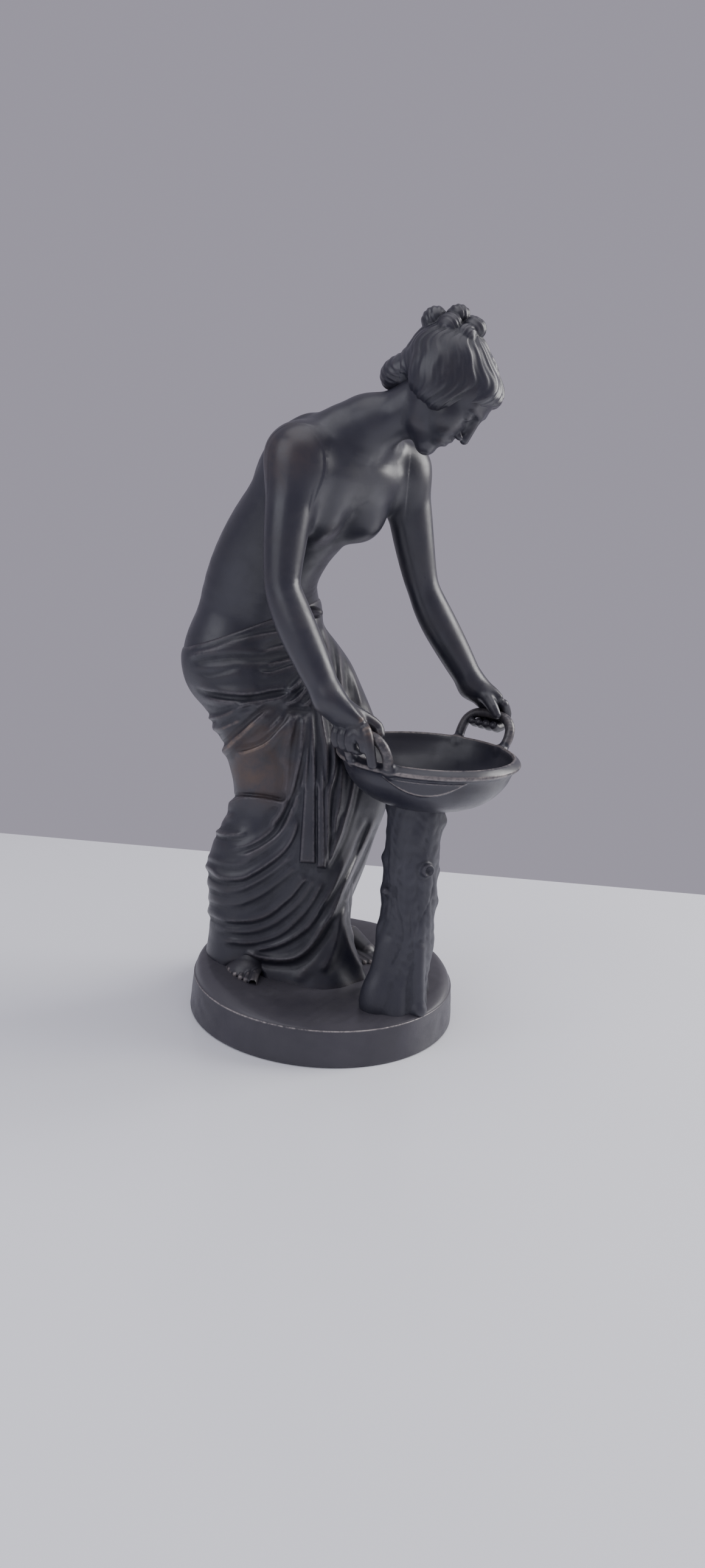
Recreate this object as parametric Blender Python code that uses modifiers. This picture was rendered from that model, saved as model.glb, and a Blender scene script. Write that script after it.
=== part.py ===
"""Neoclassical bronze statue: a draped woman bending over a two-handled basin on a tree trunk, on a round plinth."""
import math
import bpy, bmesh
import numpy as np
from mathutils import Matrix, Vector

# ---------------------------------------------------------------- sizes, in millimetres
TURN = math.radians(-45.0)        # turns the working frame so the woman faces -Y
PLINTH_R, PLINTH_TOP_R, PLINTH_H = 79.0, 77.3, 21.3
BASIN_X, BASIN_Y, BASIN_RIM_Z = 50.0, -25.0, 169.0
BASIN_R, BASIN_LIP_R = 51.0, 46.6
HANDLE_R = 2.8
GAP = 0.35
SWELL = 0.35                      # the figure's solid stands this far outside its modelled surface
FIGURE_VOXEL, FIGURE_TRIS = 1.4, 5500
TRUNK_VOXEL, TRUNK_TRIS = 1.6, 900

# ---------------------------------------------------------------- field kit
f32=np.float32
def V(*a): return np.array(a,float)
def unit(v): v=np.asarray(v,float); return v/np.linalg.norm(v)
def cross(a,b): return np.cross(a,b)
class Field:
    """A signed field on a regular grid, in millimetres: negative inside."""
    def __init__(s,lo,hi,h):
        s.h=float(h); s.lo=np.array(lo,float); s.n=np.ceil((np.array(hi,float)-s.lo)/h).astype(int)+1
        s.ax=[(s.lo[i]+h*np.arange(s.n[i])).astype(f32) for i in range(3)]
        s.f=np.full(tuple(s.n),40.0,f32)
    def box(s,lo,hi):
        i0=np.maximum(np.floor((np.array(lo)-s.lo)/s.h).astype(int),0)
        i1=np.minimum(np.ceil((np.array(hi)-s.lo)/s.h).astype(int)+1,s.n)
        if (i1<=i0).any(): return None
        sl=tuple(slice(a,b) for a,b in zip(i0,i1))
        x=s.ax[0][sl[0]][:,None,None]; y=s.ax[1][sl[1]][None,:,None]; z=s.ax[2][sl[2]][None,None,:]
        return sl,x,y,z
def like(F):
    G=Field(F.lo,F.lo+F.h,F.h); G.n=F.n.copy(); G.ax=F.ax; G.f=np.full(tuple(F.n),40.0,f32); return G
def smin(a,b,k):
    if k<=0: return np.minimum(a,b)
    h=np.maximum(k-np.abs(a-b),0)/k
    return np.minimum(a,b)-h*h*(k*0.25)
def smax(a,b,k): return -smin(-a,-b,k)
def sstep(t): t=np.clip(t,0,1); return t*t*(3-2*t)
# --- primitives: each returns (lo,hi,func(x,y,z)->distance)
def ell(c,r,axes=None):
    c=np.asarray(c,float); r=np.asarray(r,float)
    A=np.eye(3) if axes is None else np.array(axes,float)
    e=np.sqrt((A.T**2@(r**2)))
    def fn(x,y,z):
        dx,dy,dz=x-f32(c[0]),y-f32(c[1]),z-f32(c[2])
        k0=0;k1=0
        for i in range(3):
            q=dx*f32(A[i,0])+dy*f32(A[i,1])+dz*f32(A[i,2])
            q=q*f32(1/r[i]); k0=k0+q*q; q=q*f32(1/r[i]); k1=k1+q*q
        k0=np.sqrt(k0); k1=np.sqrt(k1)+f32(1e-6)
        return k0*(k0-1)/k1
    return c-e,c+e,fn
def cone(a,b,ra,rb,flat=None,ff=1.0):
    a=np.asarray(a,float); b=np.asarray(b,float); d=b-a; L2=d@d
    R=max(ra,rb)
    def fn(x,y,z):
        px,py,pz=x-f32(a[0]),y-f32(a[1]),z-f32(a[2])
        t=np.clip((px*f32(d[0])+py*f32(d[1])+pz*f32(d[2]))*f32(1/L2),0,1)
        qx=px-t*f32(d[0]); qy=py-t*f32(d[1]); qz=pz-t*f32(d[2])
        if flat is not None:
            m=qx*f32(flat[0])+qy*f32(flat[1])+qz*f32(flat[2]); g=f32(1/ff-1)
            qx=qx+m*g*f32(flat[0]); qy=qy+m*g*f32(flat[1]); qz=qz+m*g*f32(flat[2])
        return np.sqrt(qx*qx+qy*qy+qz*qz)-(f32(ra)+t*f32(rb-ra))
    return np.minimum(a,b)-R,np.maximum(a,b)+R,fn
def chain(pts,rs,flat=None,ff=1.0):
    parts=[cone(pts[i],pts[i+1],rs[i],rs[i+1],flat,ff) for i in range(len(pts)-1)]
    lo=np.min([p[0] for p in parts],0); hi=np.max([p[1] for p in parts],0)
    def fn(x,y,z):
        d=None
        for p in parts:
            v=p[2](x,y,z); d=v if d is None else np.minimum(d,v)
        return d
    return lo,hi,fn
def bez(p,n):
    """points of a Bezier curve through control points p"""
    p=np.array(p,float); t=np.linspace(0,1,n)[:,None]; q=[p[i][None]*np.ones_like(t) for i in range(len(p))]
    while len(q)>1: q=[q[i]*(1-t)+q[i+1]*t for i in range(len(q)-1)]
    return q[0]
def spl(p,n):
    """Catmull-Rom curve through the points p, n points in all"""
    p=np.array(p,float); P=np.vstack([2*p[0]-p[1],p,2*p[-1]-p[-2]]); m=len(p)-1
    out=[]
    for u in np.linspace(0,m,n):
        i=min(int(u),m-1); t=u-i; a,b,c,d=P[i],P[i+1],P[i+2],P[i+3]
        out.append(0.5*((2*b)+(-a+c)*t+(2*a-5*b+4*c-d)*t*t+(-a+3*b-3*c+d)*t**3))
    return np.array(out)
def add(F,prim,k=0.0,mode='add',pad=None):
    lo,hi,fn=prim; pad=(k+2.5*F.h+1.0) if pad is None else pad
    b=F.box(lo-pad,hi+pad)
    if b is None: return
    sl,x,y,z=b; v=fn(x,y,z).astype(f32); g=F.f[sl]
    if mode=='add': F.f[sl]=smin(g,v,k)
    elif mode=='sub': F.f[sl]=smax(g,-v,k)
    elif mode=='and': F.f[sl]=smax(g,v,k)
    elif mode=='groove': F.f[sl]=g+v
# --- surface nets
def nets(F,lo=None,hi=None):
    f=F.f; n=f.shape
    s=f<0
    # cells with sign change
    c=s[:-1,:-1,:-1]
    cnt=np.zeros([k-1 for k in n],np.int8)
    for i in (0,1):
        for j in (0,1):
            for k in (0,1):
                cnt+=s[i:n[0]-1+i,j:n[1]-1+j,k:n[2]-1+k]
    act=(cnt>0)&(cnt<8)
    idx=np.full(act.shape,-1,np.int32); ci,cj,ck=np.nonzero(act); idx[ci,cj,ck]=np.arange(len(ci))
    P=np.zeros((len(ci),3)); C=np.zeros(len(ci))
    cor=[(i,j,k) for i in (0,1) for j in (0,1) for k in (0,1)]
    val={c:f[ci+c[0],cj+c[1],ck+c[2]].astype(float) for c in cor}
    for a in cor:
        for ax in range(3):
            if a[ax]: continue
            b=tuple(a[m]+(m==ax) for m in range(3)); va,vb=val[a],val[b]
            m=(va<0)!=(vb<0)
            t=np.where(m,va/np.where(m,va-vb,1),0)
            p=np.array(a,float)[None]+0*P; p[:,ax]+=t
            P[m]+=p[m]; C[m]+=1
    P/=C[:,None]
    verts=np.stack([ci,cj,ck],1)+P
    verts=F.lo+verts*F.h
    quads=[]
    for ax in range(3):
        u,v=[(1,2),(2,0),(0,1)][ax]
        sh=[slice(None)]*3; sh2=[slice(None)]*3
        sh[ax]=slice(0,-1); sh2[ax]=slice(1,None)
        a=s[tuple(sh)]; b=s[tuple(sh2)]
        e=np.nonzero(a!=b); e=np.array(e).T
        m=(e[:,u]>0)&(e[:,v]>0)&(e[:,u]<n[u]-1)&(e[:,v]<n[v]-1); e=e[m]
        def cell(du,dv):
            q=e.copy(); q[:,u]-=du; q[:,v]-=dv; return idx[q[:,0],q[:,1],q[:,2]]
        q=np.stack([cell(1,1),cell(0,1),cell(0,0),cell(1,0)],1)
        ins=s[e[:,0],e[:,1],e[:,2]]
        q[~ins]=q[~ins][:,::-1]
        quads.append(q)
    return verts,np.vstack(quads)
def tets(F):
    """closed surface of a field, cell by cell over six tetrahedra: no edge is shared by more than two faces"""
    f=F.f; n=f.shape; s=f<0; cnt=np.zeros([k-1 for k in n],np.int8)
    for i in (0,1):
        for j in (0,1):
            for k in (0,1): cnt+=s[i:n[0]-1+i,j:n[1]-1+j,k:n[2]-1+k]
    c=np.stack(np.nonzero((cnt>0)&(cnt<8)),1).astype(np.int64)
    off=np.array([[b&1,(b>>1)&1,(b>>2)&1] for b in range(8)])
    G=lambda b: ((c[:,0]+off[b,0])*n[1]+(c[:,1]+off[b,1]))*n[2]+c[:,2]+off[b,2]
    gid={b:G(b) for b in range(8)}; ins={b:s[c[:,0]+off[b,0],c[:,1]+off[b,1],c[:,2]+off[b,2]] for b in range(8)}
    tri=[]
    for a,b in ((1,2),(1,4),(2,1),(2,4),(4,1),(4,2)):
        T=[0,a,a|b,7]; code=sum(ins[T[i]].astype(int)<<i for i in range(4))
        E=lambda i,j,m: gid[T[min(i,j)]][m]*8+(T[max(i,j)]-T[min(i,j)])
        for cd in range(1,15):
            m=code==cd
            if not m.any(): continue
            I=[i for i in range(4) if cd>>i&1]; O=[i for i in range(4) if not cd>>i&1]
            if len(I)==1: p=I[0]; tri.append(np.stack([E(p,o,m) for o in O],1))
            elif len(I)==3: p=O[0]; tri.append(np.stack([E(p,i,m) for i in I],1))
            else:
                q=[E(I[0],O[0],m),E(I[0],O[1],m),E(I[1],O[1],m),E(I[1],O[0],m)]
                tri.append(np.stack([q[0],q[1],q[2]],1)); tri.append(np.stack([q[0],q[2],q[3]],1))
    K,inv=np.unique(np.vstack(tri),return_inverse=True); inv=inv.reshape(-1,3)
    g=K//8; d=off[K%8]; p=np.stack([g//(n[1]*n[2]),(g//n[2])%n[1],g%n[2]],1); q=p+d
    va=f[p[:,0],p[:,1],p[:,2]].astype(float); vb=f[q[:,0],q[:,1],q[:,2]].astype(float)
    t=np.clip(va/(va-vb),.04,.96)[:,None]
    return F.lo+(p+d*t)*F.h,inv

# ---------------------------------------------------------------- the woman and her drapery
FW=V(.7071,-.7071,0); LF=V(.7071,.7071,0); UP=V(0,0,1)
def evened(s,m):
    """running mean over 2m+1 cells along each axis"""
    for ax in range(3):
        if s.shape[ax]<2*m+2: continue
        c=np.cumsum(np.pad(s,[(m+1,m) if i==ax else (0,0) for i in range(3)],'edge'),axis=ax,dtype=f32); L=s.shape[ax]; k=[slice(None)]*3; j=[slice(None)]*3; k[ax]=slice(2*m+1,2*m+1+L); j[ax]=slice(0,L)
        s=(c[tuple(k)]-c[tuple(j)])*f32(1/(2*m+1))
    return s
def tube(pts,side,a,b,n=16,even=0):
    """body of elliptical sections along a smooth curve; side = direction of half-width a, b the other way"""
    pts=np.array(pts,float); m=len(pts); side=np.array(side,float)
    if side.ndim==1: side=np.repeat(side[None],m,0)
    a=np.atleast_1d(np.array(a,float)); b=np.atleast_1d(np.array(b,float))
    tab=spl(np.hstack([pts,side,a[:,None],b[:,None]]),n)
    C=tab[:,:3]; S=tab[:,3:6]; A=tab[:,6]; B=tab[:,7]
    T=np.gradient(C,axis=0); T/=np.linalg.norm(T,axis=1,keepdims=True)
    S=S-T*(S*T).sum(1,keepdims=True); S/=np.linalg.norm(S,axis=1,keepdims=True); D=np.cross(T,S)
    R=np.maximum(A,B)[:,None]
    lo=(C-R).min(0); hi=(C+R).max(0)
    u=np.arange(n)
    def fn(x,y,z):
        sh=np.broadcast_shapes(x.shape,y.shape,z.shape)
        best=np.full(sh,1e9,f32); s=np.zeros(sh,f32)
        for i in range(n-1):
            p=C[i]; d=C[i+1]-p; L2=d@d
            px,py,pz=x-f32(p[0]),y-f32(p[1]),z-f32(p[2])
            t=np.clip((px*f32(d[0])+py*f32(d[1])+pz*f32(d[2]))*f32(1/L2),0,1)
            qx=px-t*f32(d[0]); qy=py-t*f32(d[1]); qz=pz-t*f32(d[2])
            q=qx*qx+qy*qy+qz*qz; mk=q<best
            best=np.where(mk,q,best); s=np.where(mk,t+f32(i),s)
        if even: s=evened(s,max(1,int(round(even/abs(float(z.ravel()[1]-z.ravel()[0]))))))
        I=lambda w: np.interp(s,u,w).astype(f32)
        qx,qy,qz=x-I(C[:,0]),y-I(C[:,1]),z-I(C[:,2])
        l=qx*I(S[:,0])+qy*I(S[:,1])+qz*I(S[:,2]); d=qx*I(D[:,0])+qy*I(D[:,1])+qz*I(D[:,2])
        e=np.sqrt(np.maximum(qx*qx+qy*qy+qz*qz-l*l-d*d,0))
        ia,ib=1/I(A),1/I(B); ic=np.maximum(ia,ib)
        k0=np.sqrt((l*ia)**2+(d*ib)**2+(e*ic)**2); k1=np.sqrt((l*ia*ia)**2+(d*ib*ib)**2+(e*ic*ic)**2)+f32(1e-6)
        return k0*(k0-1)/k1
    return lo,hi,fn
# ---------- head frame
HC=V(41.8,-32,363); HU=V(.761,-.204,.616); HN=V(.595,-.159,-.788); HL=V(.259,.966,0)
def hp(l,n,u): return HC+HL*l+HN*n+HU*u
HAX=np.array([HL,HN,HU])
def hell(l,n,u,r): return ell(hp(l,n,u),r,HAX)
# ---------- thorax frame
TC=V(-14.9,-10.6,309); TU=V(.468,-.468,.743); TN=V(.52,-.52,-.669)
def tp(l,n,u): return TC+LF*l+TN*n+TU*u
TAX=np.array([LF,TN,TU])
def dent(F,prim,amp,w):
    """soft hollow (amp>0) or swelling (amp<0) along a primitive's distance"""
    lo,hi,fn=prim; p=w*2.2
    b=F.box(lo-p,hi+p)
    if b is None: return
    sl,x,y,z=b; d=np.maximum(fn(x,y,z),0); F.f[sl]+=f32(amp)*np.exp(-(d/w)**2).astype(f32)
TORSO=tube([(-50,23,200),(-51,20,226),(-49.5,12,252),(-40,3,275),(-25,-5,296),(-9,-15,315),(-1,-21,329),(5,-24,337)],LF,
               [41,40,34.5,33.5,34.5,33,22,14],[29,29,26,26,26.5,23.5,17,13],30,2.6)
def pelvis(F):
    add(F,TORSO)
    for s in (-1,1):
        add(F,ell(V(-56.5,17,207)+LF*15.5*s,(24,24,27),np.array([FW,LF,UP])),10)
def torso(F):
    pelvis(F)
    for s in (-1,1):
        add(F,ell(tp(15.5*s,20,-8),(13.5,12.5,14),TAX),8)           # breast
        add(F,ell(tp(19*s,13,7),(17,9,15),TAX),13)                  # chest muscle
        add(F,ell(tp(18*s,-18,4),(13,6,20),TAX),15)                  # shoulder blade
    # spine furrow
    dent(F,chain(spl([(-86,34,236),(-80,32,252),(-69,24,274),(-55,13,296),(-38,0,320),(-22,-10,338)],11),[.5]*11),1.7,4.5)
    # neck and shoulders
    add(F,cone((0,-24,336),(-25,-38,324),10.5,9.5),10)
    add(F,cone((4,-20,335),(20,6,321),10.5,9.5),10)
    add(F,tube([(-5,-22,331),(8,-26,338),(19,-29,343),(30,-31,350)],HL,[15,13.2,12.6,13.5],[15,13.2,12.6,13.5]),7)
    # collar bones
    dent(F,chain([tp(4,17,30),tp(14,16,31),tp(26,8,33)],[.5]*3),-.7,4)
    dent(F,chain([tp(-4,17,30),tp(-14,16,31),tp(-26,8,33)],[.5]*3),-.7,4)
def arm(F,S,E,Wr,near):
    S,E,Wr=np.array(S,float),np.array(E,float),np.array(Wr,float)
    d1=unit(E-S); d2=unit(Wr-E); h=unit(np.cross(d1,d2)); Ei=E+unit((S+Wr)/2-E)*1.8      # hinge direction, eased elbow
    add(F,ell(S,(12.6,12.6,13.2)),13)
    add(F,tube([S,S+(E-S)*.30,S+(E-S)*.60,E-d1*10+(Ei-E)*.3,Ei,E+d2*10+(Ei-E)*.3,E+(Wr-E)*.36,E+(Wr-E)*.62,E+(Wr-E)*.85,Wr],h,
               [12.4,12.2,11.4,10.1,9.5,10.1,10.6,10.1,9.1,8.6],[12.8,12.4,11.2,9.8,9.2,9.9,10.2,9.5,8.4,7.4],26,1.8),10)
def hand(F,W,B,o,g,near):
    """W wrist, B top of the handle bar, o outward, g along the bar to the index side"""
    W=np.array(W,float); B=np.array(B,float); o=unit(o); g=unit(g); z=UP
    K=B+o*3+z*6.5
    add(F,tube([W,W*.45+K*.55+o*.5,K],g,[8.6,10.4,11.0],[7.4,6.4,4.8]),5)
    gs=[8.2,2.9,-2.5,-7.5]; rs=[3.0,3.05,2.9,2.6]
    for i,(q,r) in enumerate(zip(gs,rs)):
        k=B+g*q*0.97+o*3.4+z*6.6
        if i==0 and near:
            p=[k,B+g*11.6+o*4.3+z*4.0,B+g*13.6+o*3.6+z*-3.0,B+g*14.2+o*1.2+z*-12]
        else:
            p=[k,B+g*q+o*6.9+z*1.0,B+g*q+o*5.6+z*-4.8,B+g*q-o*.6+z*-6.9,B+g*q-o*4.4+z*-5.2]
        p=spl(p,9); add(F,chain(p,np.linspace(r*1.05,r*.86,9)),1.2)
    if near: add(F,chain([B+g*6+o*5.0+z*3,B+g*9.5+o*4.2+z*.5,B+g*9.8+o*3.0+z*-4.4],[3.6,3.6,2.8]),2)      # web beside the straight finger
    p=spl([W*.6+K*.4+g*5-o*3,B+g*7-o*6.5+z*6.5,B+g*11-o*6.6+z*2],8)
    add(F,chain(p,np.linspace(4.2,2.6,8)),2.5)
R1=V(-.676,-.737,0); T1=V(.737,-.676,0); BC=V(50,-25,169)
def skin(F):
    torso(F)
    arm(F,(-31.5,-42,318),(-34.8,-54,253),(-6.0,-64.6,200.5),True)
    arm(F,(25,10,316),(40.5,19,251),(75,21,199),False)
    hand(F,(-6.0,-64.6,200.5),BC+R1*55.5+UP*12.6-T1*4.6,R1,T1,True)
    hand(F,(75,21,199),BC-R1*55.5+UP*14.4-T1*3,-R1,T1,False)
    head(F)
def fp(l,n,u): return hp(l,n+4,u)
def fell(l,n,u,r): return hell(l,n+4,u,r)
def head(F):
    add(F,fell(0,-2,3,(18.5,22.5,19.5)),0)
    add(F,fell(0,9,-10,(16.5,15,21)),6)
    add(F,fell(0,11,6,(16.5,12,13)),5)
    for s in (-1,1):
        add(F,fell(9.5*s,14,-9,(7.5,7.5,8)),4)
        add(F,cone(fp(14.5*s,0,-12),fp(10.5*s,8,-22),5.5,4.5),5)
        add(F,cone(fp(10.5*s,8,-22),fp(3*s,17,-27),4.5,4),4)
    add(F,fell(0,18.2,-27,(6,5,5)),3)
    add(F,cone(fp(3.5,22.3,3.6),fp(12,18.6,4.6),1.8,1.5),3); add(F,cone(fp(-3.5,22.3,3.6),fp(-12,18.6,4.6),1.8,1.5),3)
    for s in (-1,1): add(F,fell(8*s,25.2,-1.2,(5.6,4.6,3.6)),2.2,'sub')
    add(F,cone(fp(0,22,3),fp(0,27.4,-9.6),2.0,2.4),2.4)
    for s in (-1,1):
        add(F,fell(2.8*s,24.4,-10.6,(2.1,2.6,1.9)),1.2)
        add(F,fell(7.9*s,18.2,-1.2,(4.6,4.4,3.7)),.8)
    add(F,fell(0,19,-18,(8.5,4.6,5)),3)
    add(F,chain([fp(-5.6,20.6,-16.9),fp(-2,23.2,-15.7),fp(0,23.3,-16.1),fp(2,23.2,-15.7),fp(5.6,20.6,-16.9)],[.7,1.25,1.15,1.25,.7]),.9)
    add(F,chain([fp(-4.8,20.8,-18.4),fp(-1.8,22.7,-19.2),fp(1.8,22.7,-19.2),fp(4.8,20.8,-18.4)],[.7,1.5,1.5,.7]),.9)
def hair(F):
    H=like(F)
    add(H,hell(0,-2,3.0,(21.5,24,21.3)),0)
    for s_ in (-1,1): add(H,hell(15*s_,2,-5,(9,15,12)),6)            # waves over the ears
    add(H,hell(0,13.5,7,(16.5,17.2,14.5)),5)                                # roll above the brow
    add(H,hell(0,-14.5,-15.5,(12,8,11)),6); add(H,hell(0,-15.2,-21.6,(9.5,7.6,8)),5)                               # low bun at the nape
    # open the face
    add(H,hell(0,35,-8.8,(17.4,21,20.8)),5.5,'sub')
    b=H.box(HC-46,HC+46)
    sl,x,y,z=b
    dx,dy,dz=x-f32(HC[0]),y-f32(HC[1]),z-f32(HC[2])
    l=dx*f32(HL[0])+dy*f32(HL[1])+dz*f32(HL[2]); n=dx*f32(HN[0])+dy*f32(HN[1])+dz*f32(HN[2]); u=dx*f32(HU[0])+dy*f32(HU[1])+dz*f32(HU[2])
    # strands run from the hairline to the knot behind the crown
    ka=unit((0,-.55,.83)); c1=unit((1,0,0)); c2=np.cross(ka,c1)
    w=l*f32(ka[0])+n*f32(ka[1])+u*f32(ka[2]); p=l*f32(c1[0])+n*f32(c1[1])+u*f32(c1[2]); q=l*f32(c2[0])+n*f32(c2[1])+u*f32(c2[2])
    az=np.arctan2(p,q); pol=np.arctan2(np.sqrt(p*p+q*q),w)
    wav=az+.17*np.sin(pol*4.0+az*1.3)+.05*np.sin(pol*8.0+az*3)
    lock=(np.cos(wav*11+.8*np.sin(az*2.3))*.52+np.cos(wav*25+1.3*np.sin(pol*4))*.30+np.cos(wav*53+2*np.sin(pol*3+az))*.10)*(.55+.45*sstep((n+2)/14))
    bun=sstep((-9-n)/4)*sstep((-7-u)/4)
    H.f[sl]-=(lock*f32(.46)*sstep((pol-.30)/.25)*(1-bun)+np.cos((u*.85-n*.5+.05*l*l)*(2*np.pi/3.5)+1.3*np.sin(l*.45+u*.3))*.13*bun).astype(f32)
    # coiled knots
    add(H,hell(0,-16,12,(10,9.5,8.5)),3)
    K=[(-3.5,-25.3,9.3,6.7,0.0),(6,-25,9.5,6.2,1.0),(-2.5,-19.8,20.0,5.9,2.0),(-3.5,-9.6,23.6,5.8,3.0),(6.5,-13,22,6.0,4.2),(7,-20,17.5,5.8,5.1),(-9.5,-17,14.5,6.2,.6),(10.5,-8,18.0,5.2,2.6),(-9.8,-8.5,19.0,5.0,1.7)]
    for (kl,kn,ku,r,ph0) in K:
        c=hp(kl,kn,ku); ax=unit(hp(kl*1.4,kn-6,ku)-hp(0,-8,8)); e1=unit(np.cross(ax,HN)); e2=np.cross(ax,e1)
        lo,hi,fn=ell(c,(r,r,r*.86),np.array([e1,e2,ax]))
        def f2(x,y,z,fn=fn,c=c,e1=e1,e2=e2,ax=ax,ph0=ph0,r=r):
            X,Y,Z=x-f32(c[0]),y-f32(c[1]),z-f32(c[2])
            a=X*f32(e1[0])+Y*f32(e1[1])+Z*f32(e1[2]); b_=X*f32(e2[0])+Y*f32(e2[1])+Z*f32(e2[2])
            t=a*f32(np.cos(ph0))+b_*f32(np.sin(ph0)); w_=b_*f32(np.cos(ph0))-a*f32(np.sin(ph0))
            return fn(x,y,z)-(np.cos((t+f32(.07)*w_*w_)*f32(2*np.pi/2.7))*f32(.17)).astype(f32)
        add(H,(lo-1,hi+1,f2),.8)
    F.f[:]=smin(F.f,H.f,.8)
# ---------- cloth
ZS=np.array([16,22,30,42,53,68,83,101,113,126,138,150,160,169,184,205,220,232,240,250.])
RX=np.array([-46,-46,-47,-47,-47,-47.5,-48,-46.5,-44,-42,-42.5,-43.5,-45,-48.5,-52.5,-58,-58,-58,-58,-58.])
RY=np.array([2,2,2,2,2,1,0,-2,-3,-4,-3.5,-2,-1,0,2,5,9,11,12,12.])
RR=np.array([26,25,23,21.5,21.5,22,23,21.5,17.5,14.2,15,18,19.5,22.5,25,27,25,18,12,6.])
LX=np.array([6,4,1,-1,-2,1,4,7,9.5,12,11,6,1,-3,-12,-24,-33,-39,-42,-44.])
LY=np.array([24,25,29,31,32,30,27,24,22,20,20.5,22.5,24.5,26,29,34,37,37,36,32.])
LR=np.array([24,21,16,13.5,13,14.5,15.8,16.8,17.6,18.6,19.5,21,22.5,24,25.5,26,22,15,9,5.])
MX=np.array([-4,-4,-6,-8,-9,-10,-11,-12,-12,-13,-14,-17,-20,-23,-30,-38,-44,-48,-49,-50.])
MY=np.array([1,1,2,2,2,1,1,1,1,2,3,4,5,8,12,16,20,22,22,22.])
MR=np.array([27.5,26,24,22,21.5,21.5,21.5,22,22,22,23,24,25,27,29,31,28,20,12,6.])
def cap2(x,y,ax,ay,ra,bx,by,rb):
    dx,dy=bx-ax,by-ay; L2=dx*dx+dy*dy+1e-6
    t=np.clip(((x-ax)*dx+(y-ay)*dy)/L2,0,1)
    return np.sqrt((x-ax-t*dx)**2+(y-ay-t*dy)**2)-(ra+t*(rb-ra))
SM={}
def smooth_tab(z):
    zz=np.arange(0,270,1.0); g=np.exp(-(np.arange(-12,13)/5.0)**2); g/=g.sum(); out=[]
    for w in (RX,RY,RR,LX,LY,LR,MX,MY,MR):
        v=np.interp(zz,ZS,w); v=np.convolve(np.pad(v,12,'edge'),g,'valid'); out.append(np.interp(z,zz,v).astype(f32))
    return out
def cloth_base(x,y,z):
    zf=z.ravel(); t=[q.reshape(z.shape) for q in smooth_tab(zf)]
    rx,ry,rr,lx,ly,lr,mx,my,mr=t
    a=cap2(x,y,rx,ry,rr,mx,my,mr); b=cap2(x,y,mx,my,mr,lx,ly,lr); c=cap2(x,y,rx,ry,rr,lx,ly,lr)
    return smin(smin(a,b,6),c,6),(rx+lx)*.5,(ry+ly)*.5
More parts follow.
